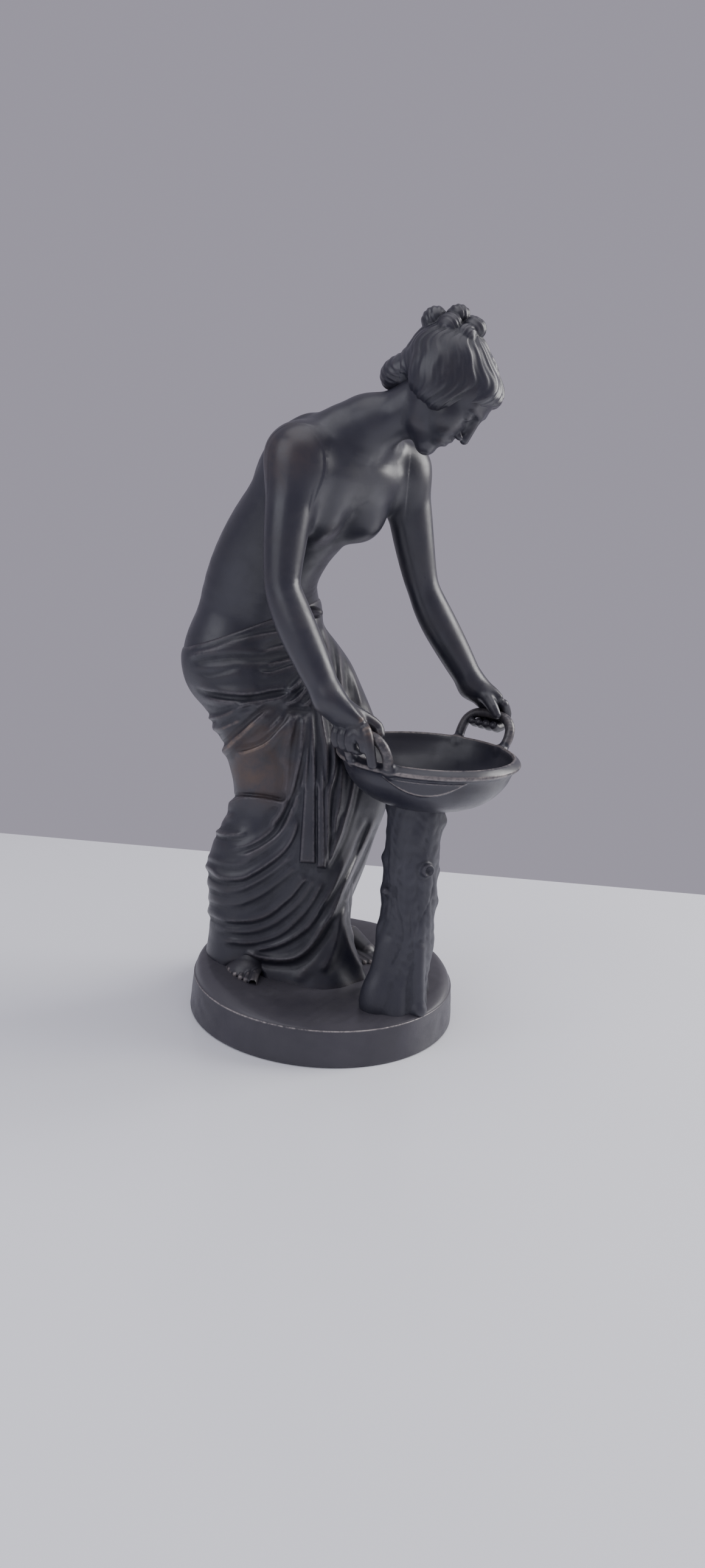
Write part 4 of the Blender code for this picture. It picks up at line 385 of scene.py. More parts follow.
def pdist(X,Z,pts):
    """distance to a smooth line through the points, place along it, and side (+ left of its way)"""
    P=spl(pts,4*len(pts)); best=np.full(X.shape,1e9); s=np.zeros(X.shape); c=np.ones(X.shape); m=len(P)-1
    for i in range(m):
        a=P[i]; d=P[i+1]-a; px,pz=X-a[0],Z-a[1]; t=np.clip((px*d[0]+pz*d[1])/(d@d),0,1)
        q=(px-t*d[0])**2+(pz-t*d[1])**2; k=q<best; best=np.where(k,q,best); s=np.where(k,(i+t)/m,s); c=np.where(k,d[0]*pz-d[1]*px,c)
    return np.sqrt(best),s,c
SHEET_X=np.arange(-116.0,76.0,.5); SHEET_Z=np.arange(6.0,262.0,.5)
def relief(folds,tails):
    X,Z=np.meshgrid(SHEET_X,SHEET_Z,indexing='ij'); R=np.zeros(X.shape)
    for pts,wl,wr,h in folds:
        pts=np.array([sheet(u,v) for u,v in pts]); w=max(wl,wr)*2.8; lo=pts.min(0)-w; hi=pts.max(0)+w
        a=slice(max(int((lo[0]-SHEET_X[0])*2),0),int((hi[0]-SHEET_X[0])*2)+1); b=slice(max(int((lo[1]-SHEET_Z[0])*2),0),int((hi[1]-SHEET_Z[0])*2)+1)
        d,s,c=pdist(X[a,b],Z[a,b],pts); L=np.linalg.norm(np.diff(pts,axis=0),axis=1).sum(); f=min(7.0/L,.35)
        fade=sstep(s/f+.12)*sstep((1-s)/f+.08); wide=np.where(c>0,wl,wr); nar=min(wl,wr)
        v=np.exp(-(d/wide)**2)-.30*np.exp(-((d-1.5*nar-.6)/(1.0*nar))**2)*(wide<=nar*1.01)
        R[a,b]+=(.9-.2*(pts[:,1].mean()<112))*h*fade*v
    for a,b,wa,wb,h in tails:
        a=sheet(*a); b=sheet(*b)
        t=np.clip((Z-a[1])/(b[1]-a[1]),0,1); xc=a[0]+(b[0]-a[0])*t; w=wa+(wb-wa)*t
        R+=h*sstep((w-np.abs(X-xc))/1.0+.5)*sstep((Z-b[1])/.9+.5)*sstep((a[1]-Z)/30+.1)
    return R.astype(f32)
def laid(R,x,y,z):
    """relief of the board carried along the lines of sight to points of a block"""
    k=f32(BOARD_Y-EYE[1])/(y-f32(EYE[1]))
    u=(f32(EYE[0])+(x-f32(EYE[0]))*k-f32(SHEET_X[0]))*2; v=(f32(EYE[2])+(z-f32(EYE[2]))*k-f32(SHEET_Z[0]))*2
    u=np.clip(u,0,len(SHEET_X)-1.01); v=np.clip(v,0,len(SHEET_Z)-1.01); i=u.astype(np.int32); j=v.astype(np.int32); a=(u-i).astype(f32); b=(v-j).astype(f32)
    return (R[i,j]*(1-a)+R[i+1,j]*a)*(1-b)+(R[i,j+1]*(1-a)+R[i+1,j+1]*a)*b
def cloth(F,k=1.0):
    T=like(F); pelvis(T)
    b=F.box(V(-104,-60,18),V(52,78,246)); sl,x,y,z=b
    d,cx,cy=cloth_base(x,y,z)
    d=smin(d,T.f[sl]-f32(1.2),5)
    wn=sstep((cy+6-y)/24+.5).astype(f32)
    gx,gy=[g.astype(f32) for g in np.gradient(d,F.h,axis=(0,1))]
    wn=wn*np.where(gx>0,1-(1-sstep((f32(.10)-gy)/f32(.35)))*sstep(gx/f32(.3)),1).astype(f32)
    # back and far side: long falling folds
    ph=np.arctan2(y-cy,x-cx)
    q=ph*7+0.010*(z-120)+1.1*np.sin(z*.021+ph*2)
    amp=(.8+1.4*sstep((170-z)/120))*sstep((226-z)/26)
    back=(np.cos(q)*.6+np.cos(q*1.9+1.3)*.35+.25*np.cos(2*q)).astype(f32)*amp.astype(f32)
    sw=(np.sin(z*.15+1.9*np.sin(ph*1.3+.4)+1.3*np.sin(z*.043+.8))*(.5+.4*sstep((110-z)/60))*sstep((x*-1+cx+5)/30+.5)).astype(f32)
    d=d-laid(relief(NEAR,TAILS),x,y,z)*wn-(back*.85+sw*.8)*(1-wn)
    e=np.maximum(f32(215)+f32(.41)*(x+84)-z,0); d=smax(d,T.f[sl]-(f32(1.9)+f32(.55)*e+f32(.02)*e*e),4)      # hugs the waist
    d=smax(d,z-(f32(215)+f32(.41)*(x+84)),1.6)
    d=smax(d,f32(20)-z,1)
    F.f[sl]=smin(F.f[sl],d,k)
    add(F,ell(V(-19.5,1,236.5),(5.6,5,3.6)),4)                     # roll of cloth at the belly
    add(F,chain([(0,-5.5,78),(8.5,-8.8,50),(22.8,-6.6,22)],[3.4,4.8,3.0]),9)     # hem drawn out to a point near the trunk
    add(F,ell(V(-47.5,-30,25.6),(15,14.5,8.2)),3,'sub')                 # hem lifted over the right foot
def feet(F):
    # right foot turned outwards, toes showing under the hem
    m=unit(V(.97,-.24,0)); fo=unit(V(-.24,-.97,0))
    add(F,cone((-41,6,50),(-44.5,-20,31.0),11,7.0,UP,.85),4); add(F,ell(V(-46,-16.5,28.6),(10.8,13.5,5.4),np.array([m,fo,UP])),5)
    T=[((-38.4,-22,29.4),(-39.4,-34.4,26.9),2.9,2.6),((-42.0,-22.5,30.2),(-43.3,-33.4,27.6),2.0,1.8),((-45.4,-21.5,30.5),(-46.7,-31.6,28.0),1.95,1.75),((-48.8,-19,30.8),(-50.1,-28.8,28.6),1.9,1.7),((-52.0,-15,30.9),(-53.5,-24.4,29.4),1.8,1.6)]
    for a,b,ra,rb in T: add(F,chain([a,((a[0]+b[0])/2,(a[1]+b[1])/2,(a[2]+b[2])/2+1.0),b],[ra,rb*.98,rb]),.65)
    # left foot
    add(F,cone((14,34,32),(25,25,27),8.5,6.5,UP,.8),4)
    for i in range(5):
        o=V(.8,.6,0)*(4.2-i*4.3); a=V(23,23,26)+o; b=V(32-i*.4,12.5+i*1.2,24.2)+o*.9; add(F,cone(a,b,3.2-i*.25,2.9-i*.25),1.3)
# ---------------------------------------------------------------- ground, trunk and basin
LIP_A=np.radians([-180,-160,-140,-122,-105,-85,-60,-42,-25,-5,20,60,100,140,180]); LIP_H=np.array([9.5,8.5,6.0,3.6,1.6,.5,.4,.8,2.6,5.5,8.0,9,9,9.5,9.5])
def ground(x,y):
    rho=np.sqrt(x*x+y*y); a=np.arctan2(y,x); lip=np.interp(a,LIP_A,LIP_H)
    t=np.clip((rho-69.5)/7.0,0,1); P=np.where(rho>69.5,np.sqrt(np.maximum(1-t*t,0)),1-.72*sstep((69.5-rho)/48))
    rough=.10*np.sin(x*.19+2.1*np.sin(y*.11+.5)+1)*np.sin(y*.23+1.3*np.sin(x*.09))+.07*np.sin(x*.43+y*.31+2*np.sin(y*.17))*np.sin(x*.13-y*.37)+.05*np.sin(x*.83-y*.61+1.5*np.sin(x*.21))
    return 21.3+lip*P+(rough+.25)*sstep((75-rho)/8)+1.2*np.exp(-((x-38)**2+(y+40)**2)/260)
def rim_cut(x,y,z,gap): return (ground(x,y)+gap-z)
TRUNK_C=[(43.5,-35.5,10),(44.2,-35.5,30),(45.6,-34.5,60),(45.6,-33,85),(45.6,-32.2,110),(45.4,-30.8,128),(45.6,-30.3,142)]
def trunk(F,k=0,fine=False):
    C=spl(TRUNK_C,24)
    b=F.box(V(14,-66,16),V(76,-6,150)); sl,x,y,z=b
    zz=z.ravel(); cx=np.interp(zz,C[:,2],C[:,0]).reshape(z.shape).astype(f32); cy=np.interp(zz,C[:,2],C[:,1]).reshape(z.shape).astype(f32)
    X=x-cx; Y=y-cy; a=np.arctan2(Y,X); r=np.sqrt(X*X+Y*Y)
    R=14.7+2.6*np.exp(-np.maximum(z-20,0)/12)+.5*sstep((z-112)/20)
    R=R+.7*np.cos(3*a+.012*z+.6)*sstep((120-z)/70)+.45*np.sin(2*a-1.1+.03*z)
    R=R+.18*np.sin(9*a+1.5*np.sin(z*.06)+.05*z)*(.55+.45*np.sin(z*.11+a*2))+.10*np.sin(17*a+2.2*np.sin(z*.09+a))
    R=R+.22*np.sin(z*.30+3*np.sin(a*2+.4))*np.cos(a*3+.8)+.12*np.sin(z*.9+2.3*np.sin(a*5+z*.05))*np.sin(a*7+z*.13)
    for a0,w0,z0,zl,dp in [(-1.95,.22,78,30,.7),(-1.35,.15,62,26,.6),(-2.5,.2,95,22,.5),(-.9,.3,90,24,.5),(.4,.2,70,34,.7),(1.5,.25,88,30,.7),(2.4,.2,66,34,.6)]:
        dl=np.arctan2(np.sin(a-a0-w0*np.sin(z*.11+a0*3)),np.cos(a-a0-w0*np.sin(z*.11+a0*3)))*15
        R=R-.55*dp*np.exp(-(dl/.8)**2)*np.exp(-((z-z0)/zl)**4)
    d=(r-R)*f32(.92)
    for (A,z0,w,h) in [(178,107,4.5,1.9),(172,137,5,1.6),(186,66,6,1.8),(184,88,4,1.0),(-8,131,5,1.9),(4,84,5,1.4),(-2,58,7,1.2),(10,101,4,1.2),(-95,122,6,.8),(-110,80,7,.7),(-70,70,6,.8)]:
        dl=np.arctan2(np.sin(a-np.radians(A)),np.cos(a-np.radians(A)))*15
        d=d-f32(h)*np.exp(-(dl*dl+(z-z0)**2)/(w*w))
    F.f[sl]=smin(F.f[sl],d.astype(f32),k)
    # roots: a big lump in front on the left, smaller ones round about
    add(F,cone((34.5,-42,58),(31.5,-45.5,26),3.5,8.0),8); add(F,ell((30.8,-46,28),(7.4,7.2,13)),6)
    add(F,cone((53.5,-46,60),(55.6,-48,25),1.8,3.6),5); add(F,ell((55.8,-48.2,24),(4.4,4.4,4)),3)
    add(F,cone((44,-48,36),(43,-51,22),2.2,4.5),6)
    add(F,cone((56,-24,46),(58.5,-21,22),3,5),6); add(F,cone((33,-25,46),(30,-21,22),3,5),6)
    # sawn branch stub, hollow in the middle
    o=unit(V(.42,-.90,.10)); c=V(53.3,-45.2,106)
    add(F,cone(c-o*5,c+o*.8,4.6,3.9),1.6); add(F,ell(c+o*4.1,(2.6,2.6,2.9)),.8,'sub')
    o=unit(V(-.75,-.6,.25)); c=V(33.0,-42.5,91); add(F,cone(c-o*4,c+o*1.2,3.4,2.2),2)
    # top cut flat under the basin
    F.f[sl]=smax(F.f[sl],z-f32(140.9),.5)
# basin profile: (radius, height), inner side up, over the lip, outer side down
BOWL=[(0,142.0),(14,142.4),(25,144.4),(34,149.2),(40.5,155.6),(44.6,163.0),(46.0,167.6),(46.9,168.9),(48.2,168.5),(50.0,167.0),(51.0,165.6),(50.9,164.6),(49.9,163.6),(48.4,162.6),(46.8,160.0),(44.6,154.8),(40.5,149.2),(34.5,144.2),(27,140.6),(20,138.9),(13,138.2),(0,138.0)]
def arch(sgn,n=25,drop=0):
    """centre line of a loop handle; sgn +1 nearer the viewing side"""
    o=R1*sgn; g=T1; w=.82 if sgn>0 else 1.0; H=[(15.6*w,(48.4**2-(15.6*w)**2)**.5,164.8),(16.4*w,(50.6**2-(16.4*w)**2)**.5,168.8),(16.8*w,50.3,173.2),(15.6*w,52.7,178.4),(11.6*w,54.6,182.2),(6*w,55.4,183.5)]
    P=[(-t,r,z) for t,r,z in H]+[(0,55.5,183.7)]+H[::-1]
    return spl([V(BASIN_X,BASIN_Y,0)+g*t+o*r+UP*z for t,r,z in P],n)
# ---------------------------------------------------------------- fine surfaces
TURN=math.radians(-45.0); CT,ST=math.cos(TURN),math.sin(TURN)
def turned(P):
    P=np.asarray(P,float); return np.stack([P[:,0]*CT-P[:,1]*ST,P[:,0]*ST+P[:,1]*CT,P[:,2]],1)*.001
def unturned(P):
    P=np.asarray(P,float)*1000; return np.stack([P[:,0]*CT+P[:,1]*ST,-P[:,0]*ST+P[:,1]*CT,P[:,2]],1)
def sample(F,P):
    q=(P-F.lo)/F.h; n=np.array(F.f.shape); q=np.clip(q,0,n-1.001); i=q.astype(int); t=(q-i).astype(f32); f=F.f; x,y,z=i.T; a,b,c=t.T
    return ((f[x,y,z]*(1-a)+f[x+1,y,z]*a)*(1-b)+(f[x,y+1,z]*(1-a)+f[x+1,y+1,z]*a)*b)*(1-c)+((f[x,y,z+1]*(1-a)+f[x+1,y,z+1]*a)*(1-b)+(f[x,y+1,z+1]*(1-a)+f[x+1,y+1,z+1]*a)*b)*c
def grad(F,P,e):
    return np.stack([sample(F,P+np.eye(3)[i]*e)-sample(F,P-np.eye(3)[i]*e) for i in range(3)],1)/(2*e)
def raw_mesh(name,V_,Q):
    me=bpy.data.meshes.new(name); me.vertices.add(len(V_)); me.vertices.foreach_set("co",np.ascontiguousarray(V_,dtype=np.float32).ravel())
    k=Q.shape[1]; me.loops.add(Q.size); me.loops.foreach_set("vertex_index",np.ascontiguousarray(Q,dtype=np.int32).ravel())
    me.polygons.add(len(Q)); me.polygons.foreach_set("loop_start",np.arange(0,Q.size,k,dtype=np.int32)); 
    me.update(calc_edges=True); me.validate(); me.polygons.foreach_set("use_smooth",np.ones(len(me.polygons),bool)); me.update()
    ob=bpy.data.objects.new(name,me); bpy.context.scene.collection.objects.link(ob); return ob
def piece(name,F,most,mat,node):
    v,q=nets(F)
    for _ in range(2):
        d=sample(F,v); g=grad(F,v,F.h*.5); s=(g*g).sum(1,keepdims=True)+1e-3
        v=v-np.clip(d[:,None]*g/s,-.45*F.h,.45*F.h)*.9
    # only the largest body stays
    par=np.arange(len(v)); 
    e=np.vstack([q[:,[0,1]],q[:,[1,2]],q[:,[2,3]]])
    for _ in range(200):
        ra,rb=par[e[:,0]],par[e[:,1]]; k=ra!=rb
        if not k.any(): break
        ra,rb=ra[k],rb[k]; m=np.minimum(ra,rb); np.minimum.at(par,ra,m); np.minimum.at(par,rb,m)
        while True:
            p2=par[par]
            if (p2==par).all(): break
            par=p2
    lab,c=np.unique(par,return_counts=True); keep=par==lab[c.argmax()]; idx=np.cumsum(keep)-1; q=idx[q[keep[q[:,0]]]]; v=v[keep]
    ob=raw_mesh(name,turned(v),q)
    n=2*len(q)
    if n>most:
        m=ob.modifiers.new("Decimate","DECIMATE"); m.ratio=most/n; m.use_collapse_triangulate=True
        dg=bpy.context.evaluated_depsgraph_get(); me=bpy.data.meshes.new_from_object(ob.evaluated_get(dg)); old=ob.data; ob.modifiers.clear(); ob.data=me; me.name=name; bpy.data.meshes.remove(old)
        me.polygons.foreach_set("use_smooth",np.ones(len(me.polygons),bool))
    me=ob.data; co=np.empty(len(me.vertices)*3,np.float32); me.vertices.foreach_get("co",co); P=unturned(co.reshape(-1,3))
    # how far each spot stands proud of its surroundings, at two scales
    for nm,e in (("proud_fine",1.1),("proud_wide",3.2)):
        L=sum(sample(F,P+np.eye(3)[i]*e)+sample(F,P-np.eye(3)[i]*e) for i in range(3))-6*sample(F,P)
        a=me.attributes.new(nm,'FLOAT','POINT'); a.data.foreach_set("value",np.clip(L/e*.5,-1,1).astype(np.float32))
    me.materials.append(mat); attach(ob,"root")
    for nn in node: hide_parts(nn)
    print("PIECE",name,len(me.polygons)); return ob
# ---------------------------------------------------------------- materials
class N:
    def __init__(s,name):
        s.m=bpy.data.materials.new(name); s.m.use_nodes=True; s.t=s.m.node_tree; s.b=s.t.nodes["Principled BSDF"]; s.c=s.add("ShaderNodeTexCoord").outputs["Object"]
    def add(s,kind,**kw):
        n=s.t.nodes.new(kind)
        for k,v in kw.items(): setattr(n,k,v)
        return n
    def link(s,a,b): s.t.links.new(a,b)
    def math(s,op,a,b=0.0,clamp=False):
        n=s.add("ShaderNodeMath",operation=op,use_clamp=clamp)
        for i,v in enumerate((a,b)):
            if isinstance(v,(int,float)): n.inputs[i].default_value=v
            else: s.link(v,n.inputs[i])
        return n.outputs[0]
    def noise(s,scale,detail=5,rough=.55,dist=0.0,vec=None):
        n=s.add("ShaderNodeTexNoise"); n.inputs["Scale"].default_value=scale; n.inputs["Detail"].default_value=detail; n.inputs["Roughness"].default_value=rough; n.inputs["Distortion"].default_value=dist
        s.link(vec or s.c,n.inputs["Vector"]); return n.outputs["Fac"]
    def ramp(s,f,lo,hi,a=0.0,b=1.0):
        n=s.add("ShaderNodeMapRange",interpolation_type='SMOOTHSTEP'); s.link(f,n.inputs["Value"])
        for k,v in (("From Min",lo),("From Max",hi),("To Min",a),("To Max",b)): n.inputs[k].default_value=v
        return n.outputs["Result"]
    def mix(s,f,a,b):
        n=s.add("ShaderNodeMix",data_type='RGBA')
        if isinstance(f,(int,float)): n.inputs[0].default_value=f
        else: s.link(f,n.inputs[0])
        for i,v in ((6,a),(7,b)):
            if isinstance(v,tuple): n.inputs[i].default_value=(*v,1)
            else: s.link(v,n.inputs[i])
        return n.outputs[2]
    def attr(s,name): return s.add("ShaderNodeAttribute",attribute_name=name).outputs["Fac"]
    def ball(s,c,r0,r1):
        """1 near a place, 0 beyond r1 (metres, row frame)"""
        n=s.add("ShaderNodeVectorMath",operation='DISTANCE'); s.link(s.c,n.inputs[0]); n.inputs[1].default_value=c
        return s.ramp(n.outputs["Value"],r0,r1,1,0)
    def bump(s,h,strength,dist):
        n=s.add("ShaderNodeBump"); n.inputs["Strength"].default_value=strength; n.inputs["Distance"].default_value=dist; s.link(h,n.inputs["Height"]); s.link(n.outputs["Normal"],s.b.inputs["Normal"])
def row(x,y,z): return tuple(turned([(x,y,z)])[0])
def bronze(name,dark,mid,worn,bright,rough,spots=(),hollow_darkening=.5,edge=.5,bumpy=.15,wear=.5,gold=(),coat=.12,dust_and_top_light=None):
    n=N(name); big=n.noise(14,4,.6,.6); mott=n.noise(70,6,.65,.4); fine=n.noise(420,5,.6); spk=n.noise(1500,3,.6)
    fineA=n.attr("proud_fine"); wideA=n.attr("proud_wide")
    col=n.mix(n.ramp(big,.35,.68),dark,mid)
    # hollows are coloured darker, towards near black
    hol=n.math('MULTIPLY',n.ramp(wideA,-.16,.02,1,0),n.ramp(mott,.3,.7,.5,1)); col=n.mix(n.math('MULTIPLY',hol,hollow_darkening),col,tuple(c*.45 for c in dark))
    # warm brown where the patina is thin
    thin=n.math('MULTIPLY',n.math('MULTIPLY',n.ramp(wideA,.04,.24),n.ramp(mott,.32,.66)),wear)
    for c,r0,r1,k in spots: thin=n.math('MAXIMUM',thin,n.math('MULTIPLY',n.math('MULTIPLY',n.ball(c,r0,r1),k),n.ramp(n.math('ADD',n.math('MULTIPLY',mott,.55),n.math('MULTIPLY',big,.45)),.36,.62)))
    col=n.mix(n.math('MULTIPLY',thin,.75,True),col,worn)
    # ridges rubbed to metal, and a painted highlight: the pale ridge colour also stands in for sheen
    rub_and_sheen=n.math('MULTIPLY',n.ramp(fineA,.10,.34),n.ramp(n.math('ADD',n.math('MULTIPLY',big,.5),n.math('MULTIPLY',fine,.5)),.36,.60)); rub_and_sheen=n.math('MULTIPLY',rub_and_sheen,edge,True)
    col=n.mix(rub_and_sheen,col,bright)
    for c,r0,r1,k in gold:
        g=n.math('MULTIPLY',n.math('MULTIPLY',n.ball(c,r0,r1),n.ramp(fineA,.10,.32)),n.math('MULTIPLY',n.ramp(mott,.34,.68),k)); col=n.mix(g,col,GOLD); rub_and_sheen=n.math('MAXIMUM',rub_and_sheen,g)
    # ground top coloured lighter: partly dust, partly painted light lifting the top that the lamps leave dark
    if dust_and_top_light:
        sp=n.add("ShaderNodeSeparateXYZ"); n.link(n.c,sp.inputs[0]); g=n.math('MULTIPLY',n.ramp(sp.outputs[2],.0211,.0218),n.ramp(n.math('ADD',n.math('MULTIPLY',big,.6),n.math('MULTIPLY',mott,.4)),.3,.7,.55,1.0)); col=n.mix(g,col,dust_and_top_light)
    n.link(col,n.b.inputs["Base Color"])
    n.link(n.math('ADD',n.math('MULTIPLY',rub_and_sheen,.5),n.math('MULTIPLY',thin,.2),True),n.b.inputs["Metallic"])
    r=n.math('ADD',n.ramp(mott,.3,.75,rough-.07,rough+.10),n.math('MULTIPLY',hol,.22)); r=n.math('ADD',r,n.ramp(spk,.45,.7,-.02,.05)); n.link(r,n.b.inputs["Roughness"])
    n.b.inputs["Specular IOR Level"].default_value=.62; n.b.inputs["Coat Weight"].default_value=coat; n.b.inputs["Coat Roughness"].default_value=.26
    n.bump(n.math('ADD',n.math('MULTIPLY',fine,.7),n.math('MULTIPLY',spk,.3)),bumpy,.0006)
    return n.m
# BRIGHT: pale lilac-grey ridge colour, partly rubbed metal and partly painted highlight
DARK,MID=(.0125,.0132,.0225),(.0205,.0212,.0335); WORN=(.105,.066,.048); BRIGHT=(.115,.105,.115); GOLD=(.28,.19,.13)
def plain(name,col,rough):
    n=N(name); f=n.noise(3,3,.5); n.link(n.mix(n.ramp(f,.3,.7),col,tuple(c*.97 for c in col)),n.b.inputs["Base Color"]); n.b.inputs["Roughness"].default_value=rough; return n.m
# ---------------------------------------------------------------- scene
def grid(F):
    return [a.reshape([-1 if i==j else 1 for j in range(3)]) for i,a in enumerate(F.ax)]
def build():
    q=1.0
    # the bright argument of each bronze below paints a highlight on its ridges, over rubbed metal
    m_skin=bronze("bronze_skin",DARK,MID,WORN,BRIGHT,.40,[(row(-36,-54,320),.004,.026,.40),(row(14,-66,189),.002,.012,.6)],.2,.06,.08,.10,[(row(14,-70,188),.002,.012,.6)],.16)
    m_cloth=bronze("bronze_cloth",DARK,MID,WORN,BRIGHT,.42,[(row(-45,-22,150),.006,.030,1.0),(row(-36,-22,170),.002,.022,.8),(row(-54,-20,164),.002,.016,.7)],.30,.55,.16,.10,[(row(-52,-20,166),.006,.022,.6)])
    m_hair=bronze("bronze_hair",DARK,MID,WORN,BRIGHT,.40,[],.4,.22,.07,.06)
    m_basin=bronze("bronze_basin",DARK,MID,WORN,(.36,.32,.30),.38,[],.3,.6,.12,.05)
    m_trunk=bronze("bronze_trunk",(.021,.022,.033),(.030,.031,.045),(.05,.044,.046),BRIGHT,.54,[],.35,.2,.24,.1)
    # plinth: its pale ridge colour paints the highlight line along the top edge
    m_plinth=bronze("bronze_plinth",(.033,.031,.041),(.045,.042,.055),(.07,.06,.06),(.55,.50,.48),.48,[],.3,.7,.14,.1,(),.08,(.060,.057,.068))
    # feet: a lighter copy of the bronze, painted light on the toes that sit in shade
    m_feet=bronze("bronze_feet",(.021,.021,.029),(.030,.029,.038),WORN,(.36,.32,.31),.48,[],.1,.6,.10,.05)
    # skin: torso, arms, hands and head
    F=Field((-92,-86,164),(104,66,392),.62*q); skin(F)
    x,y,z=grid(F); F.f[:]=np.maximum(F.f,np.minimum(205-z+0*x,np.minimum(y+36+0*z,-12-x+0*z)).astype(f32))
    piece("woman_skin",F,192000,m_skin,["figure"])
    # hair
    F=Field((-4,-66,330),(86,4,399.5),.42*q); hair(F); piece("hair",F,160000,m_hair,["figure"])
    # drapery and the feet under it
    F=Field((-104,-62,17),(52,80,248),.66*q); cloth(F,0); x,y,z=grid(F); F.f[:]=np.maximum(F.f,(ground(x,y)-1.2-z).astype(f32))
    piece("drapery",F,197000,m_cloth,["figure"])
    F=Field((-66,-36,16),(46,50,46),.52*q); feet(F); x,y,z=grid(F); F.f[:]=np.maximum(F.f,(ground(x,y)-1.2-z).astype(f32))
    piece2("foot_right",F,(-66,-36),(-20,20),m_feet); piece2("foot_left",F,(0,0),(46,50),m_feet)
    # trunk
    F=Field((12,-66,16),(76,-4,146),.55*q); trunk(F); x,y,z=grid(F)
    F.f[:]=np.maximum(F.f,(ground(x,y)-1.2-z).astype(f32)); piece("tree_trunk_bark",F,150000,m_trunk,["tree_trunk"])
    # basin with its handles
    F=Field((-8,-90,132),(108,40,193),.55*q); basin(F); piece("basin_cast",F,150000,m_basin,["basin"])
    plinth(m_plinth,q)
    # floor, light, camera
    me=bpy.data.meshes.new("floor"); me.from_pydata([tuple(p) for p in turned([(-2400,382,-.2),(2400,166,-.2),(2400,-3000,-.2),(-2400,-3000,-.2)])],[],[(3,2,1,0)]); me.update()
    fl=bpy.data.objects.new("floor",me); bpy.context.scene.collection.objects.link(fl); me.materials.append(plain("floor_pale",(.90,.912,.955),.20))
    w=bpy.data.worlds.new("studio"); bpy.context.scene.world=w; w.use_nodes=True; w.node_tree.nodes["Background"].inputs[0].default_value=(.60,.565,.675,1); w.node_tree.nodes["Background"].inputs[1].default_value=.60
    def area(name,frm,to,sx,sy,power,col):
        l=bpy.data.lights.new(name,'AREA'); l.shape='RECTANGLE'; l.size=sx; l.size_y=sy; l.energy=power; l.color=col
        o=bpy.data.objects.new(name,l); bpy.context.scene.collection.objects.link(o); p=Vector(row(*frm)); t=Vector(row(*to)); o.location=p; o.rotation_euler=(t-p).to_track_quat('-Z','Y').to_euler()
    area("window",(1150,330,760),(0,0,230),.75,.95,17,(1,.985,.97))
    area("fill",(-900,-900,900),(0,0,200),1.2,1.2,7,(.93,.95,1))
    area("top",(100,-200,1500),(0,0,200),1.4,1.4,9,(.97,.97,1))
    cam=bpy.data.cameras.new("camera"); co=bpy.data.objects.new("camera",cam); bpy.context.scene.collection.objects.link(co); bpy.context.scene.camera=co
    p,r=math.radians(14.45),math.radians(4.2); R=np.array([1,0,0.]); U=np.array([0,math.sin(p),math.cos(p)]); D=np.array([0,math.cos(p),-math.sin(p)])
    X=R*math.cos(r)+U*math.sin(r); Y=-R*math.sin(r)+U*math.cos(r)
    M=np.array([[CT,-ST,0],[ST,CT,0],[0,0,1]]); X,Y,Z=M@X,M@Y,M@(-D); L=row(9.44,-634.4,303.2)
    co.matrix_world=Matrix(((X[0],Y[0],Z[0],L[0]),(X[1],Y[1],Z[1],L[1]),(X[2],Y[2],Z[2],L[2]),(0,0,0,1)))
    cam.sensor_fit='AUTO'; cam.sensor_width=36; cam.lens=1860/2576*36; cam.clip_start=.01; cam.clip_end=50
def piece2(name,F,a,b,mat):
    G=Field((a[0],a[1],F.lo[2]),(b[0],b[1],F.lo[2]+(F.n[2]-1)*F.h),F.h)
    i=np.round((G.lo-F.lo)/F.h).astype(int); i=np.maximum(i,0); n=np.minimum(G.n,F.n-i); G.f=np.ascontiguousarray(F.f[i[0]:i[0]+n[0],i[1]:i[1]+n[1],i[2]:i[2]+n[2]]); G.lo=F.lo+i*F.h; G.n=np.array(G.f.shape)
    return piece(name,G,60000,mat,["figure"])
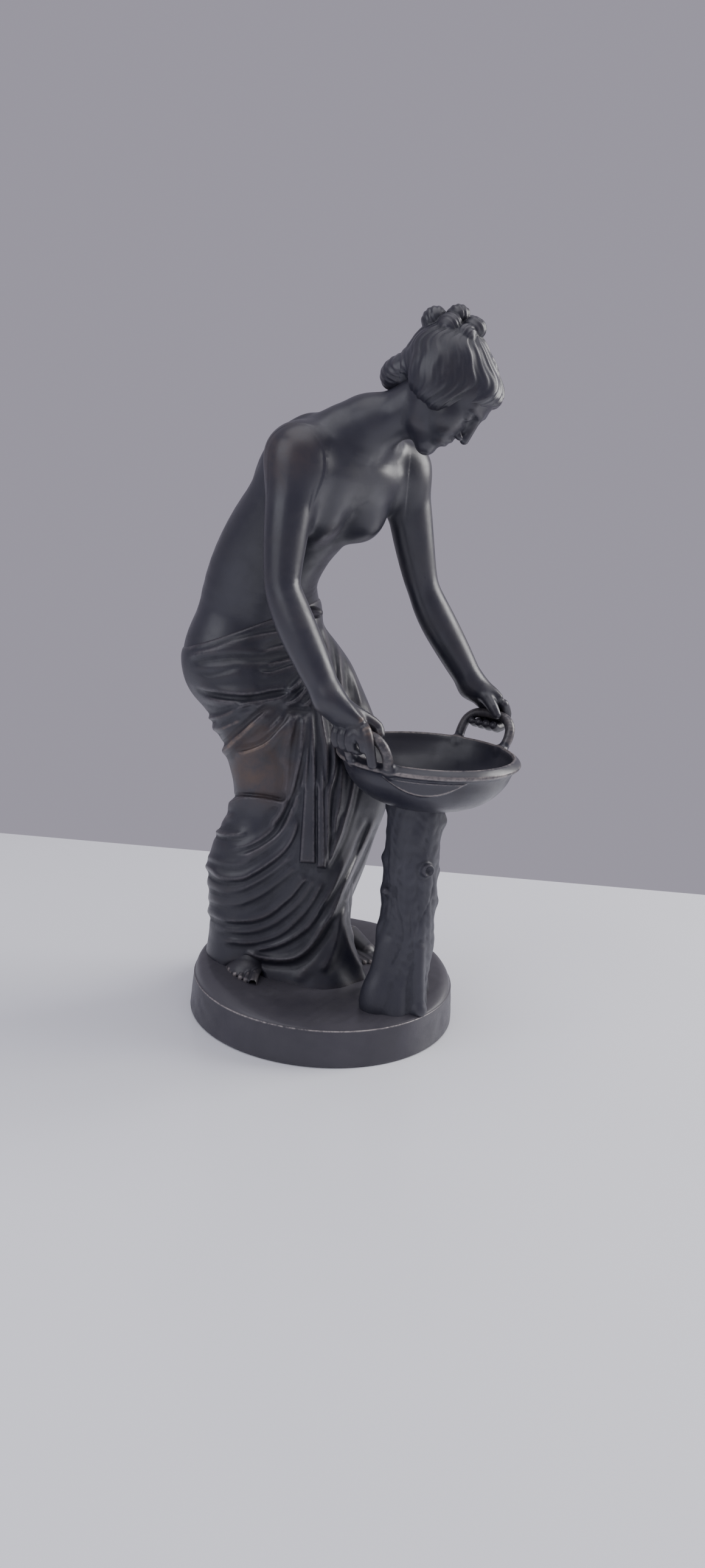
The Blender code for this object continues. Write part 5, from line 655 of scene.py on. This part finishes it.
def basin(F):
    x,y,z=grid(F); r=np.sqrt((x-BASIN_X)**2+(y-BASIN_Y)**2); B=np.array(BOWL)[1:-1]; d=None
    P=np.vstack([spl(B[:8],40),spl(B[7:],60)[1:]]); P=np.vstack([[[0,142.0]],P,[[0,138.0]]])
    rr=np.linspace(0,62,200); zz=np.arange(F.lo[2]-1,F.lo[2]+F.n[2]*F.h+1,.3); Rg,Zg=np.meshgrid(rr,zz,indexing='ij'); best=np.full(Rg.shape,1e9); ins=np.zeros(Rg.shape,bool)
    for i in range(len(P)-1):
        a,b=P[i],P[i+1]; e=b-a; t=np.clip(((Rg-a[0])*e[0]+(Zg-a[1])*e[1])/(e@e+1e-9),0,1); best=np.minimum(best,(Rg-a[0]-t*e[0])**2+(Zg-a[1]-t*e[1])**2)
        c=(a[1]>Zg)!=(b[1]>Zg); ins^=c&(Rg<(b[0]-a[0])*(Zg-a[1])/np.where(c,b[1]-a[1],1)+a[0])
    d2=np.sqrt(best)*np.where(ins,-1,1)
    u=np.clip(r/(rr[1]-rr[0]),0,198.99)+0*z; w=np.clip((z-zz[0])/.3,0,len(zz)-1.01)+0*r; i=u.astype(np.int32); j=w.astype(np.int32); a=(u-i).astype(f32); b=(w-j).astype(f32); d2=d2.astype(f32)
    F.f[:]=(d2[i,j]*(1-a)+d2[i+1,j]*a)*(1-b)+(d2[i,j+1]*(1-a)+d2[i+1,j+1]*a)*b
    th=np.degrees(np.arctan2(y-BASIN_Y,x-BASIN_X)); u_=np.minimum(np.abs(th+95),np.abs(th-85)); zarc=153.4+.0115*u_**2
    ri=np.interp(z.ravel(),[142,142.4,144.4,149.2,155.6,163,168],[0,14,25,34,40.5,44.6,46.3]).reshape(z.shape)
    F.f[:]-=(.85*sstep((z-zarc)/.7+.5)*sstep((r-ri-1.6)/.9)*sstep((162.6-z)/1.2)).astype(f32)
    for sg in (1,-1):
        A=arch(sg,41); rad=np.full(41,HANDLE_R*1.0); rad[:3]=2.4; rad[-3:]=2.4; add(F,chain(A,rad),3.0)
HANDLE_R=2.8
def plinth(mat,q):
    nr,na=int(92/q),int(380/q); prof=[]
    top=np.concatenate([np.linspace(0.2,66,int(nr*.6)),np.linspace(66.5,76.4,int(nr*.4))]); side=[(77.0,21.35),(77.25,21.3),(77.42,21.15),(77.5,20.9)]+[(77.5+1.45*t,20.9-19.6*t) for t in np.linspace(.05,1,24)]+[(78.9,.8),(78.6,.3),(78.1,0),(60,0),(30,0),(.2,0)]
    an=np.linspace(0,2*np.pi,na,endpoint=False); c,s=np.cos(an),np.sin(an); V_=[]
    for rr in top:
        x,y=rr*c,rr*s; V_.append(np.stack([x,y,ground(x,y)],1))
    for rr,zz in side:
        w=.10*np.sin(an*3+1)+.06*np.sin(an*11+zz*.3)+.05*np.sin(an*23+zz*.7); w=w*(1 if 1<zz<20.9 else 0); V_.append(np.stack([(rr+w-.1)*c,(rr+w-.1)*s,np.full(na,float(zz))],1))
    m=len(V_); V_=np.vstack(V_); Q=[]
    k=np.arange(na); k2=(k+1)%na
    for i in range(m-1): Q.append(np.stack([i*na+k,(i+1)*na+k,(i+1)*na+k2,i*na+k2],1))
    Q=np.vstack(Q); ob=raw_mesh("plinth_cast",turned(V_),Q)
    bm=bmesh.new(); bm.from_mesh(ob.data); bmesh.ops.holes_fill(bm,edges=[e for e in bm.edges if len(e.link_faces)==1],sides=0); bmesh.ops.recalc_face_normals(bm,faces=bm.faces); bm.to_mesh(ob.data); bm.free()
    me=ob.data; me.polygons.foreach_set("use_smooth",np.ones(len(me.polygons),bool))
    # painted highlight: a pale line round the plinth's top edge, strongest on the front, fed in through proud_fine and
    # proud_wide
    P=V_; rho=np.hypot(P[:,0],P[:,1]); n=len(me.vertices)
    ang=np.arctan2(P[:,1],P[:,0]); front=np.exp(-((np.arctan2(np.sin(ang+1.75),np.cos(ang+1.75)))/1.15)**4)
    e=np.exp(-((rho-77.2)/.35)**2)*np.exp(-((P[:,2]-21.2)/.45)**2)*(.25+.75*front)
    for nm,v in (("proud_fine",e*.5),("proud_wide",e*.12)):
        a=me.attributes.new(nm,'FLOAT','POINT'); vv=np.zeros(n,np.float32); vv[:len(v)]=v; a.data.foreach_set("value",vv)
    me.materials.append(mat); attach(ob,"root"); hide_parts("plinth"); print("PIECE plinth",len(me.polygons))
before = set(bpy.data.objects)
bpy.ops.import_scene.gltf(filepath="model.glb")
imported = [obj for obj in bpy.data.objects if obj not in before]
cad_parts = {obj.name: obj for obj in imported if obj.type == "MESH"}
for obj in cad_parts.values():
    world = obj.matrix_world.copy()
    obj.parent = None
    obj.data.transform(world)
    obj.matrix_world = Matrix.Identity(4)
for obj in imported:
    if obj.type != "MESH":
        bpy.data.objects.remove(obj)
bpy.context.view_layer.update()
build()
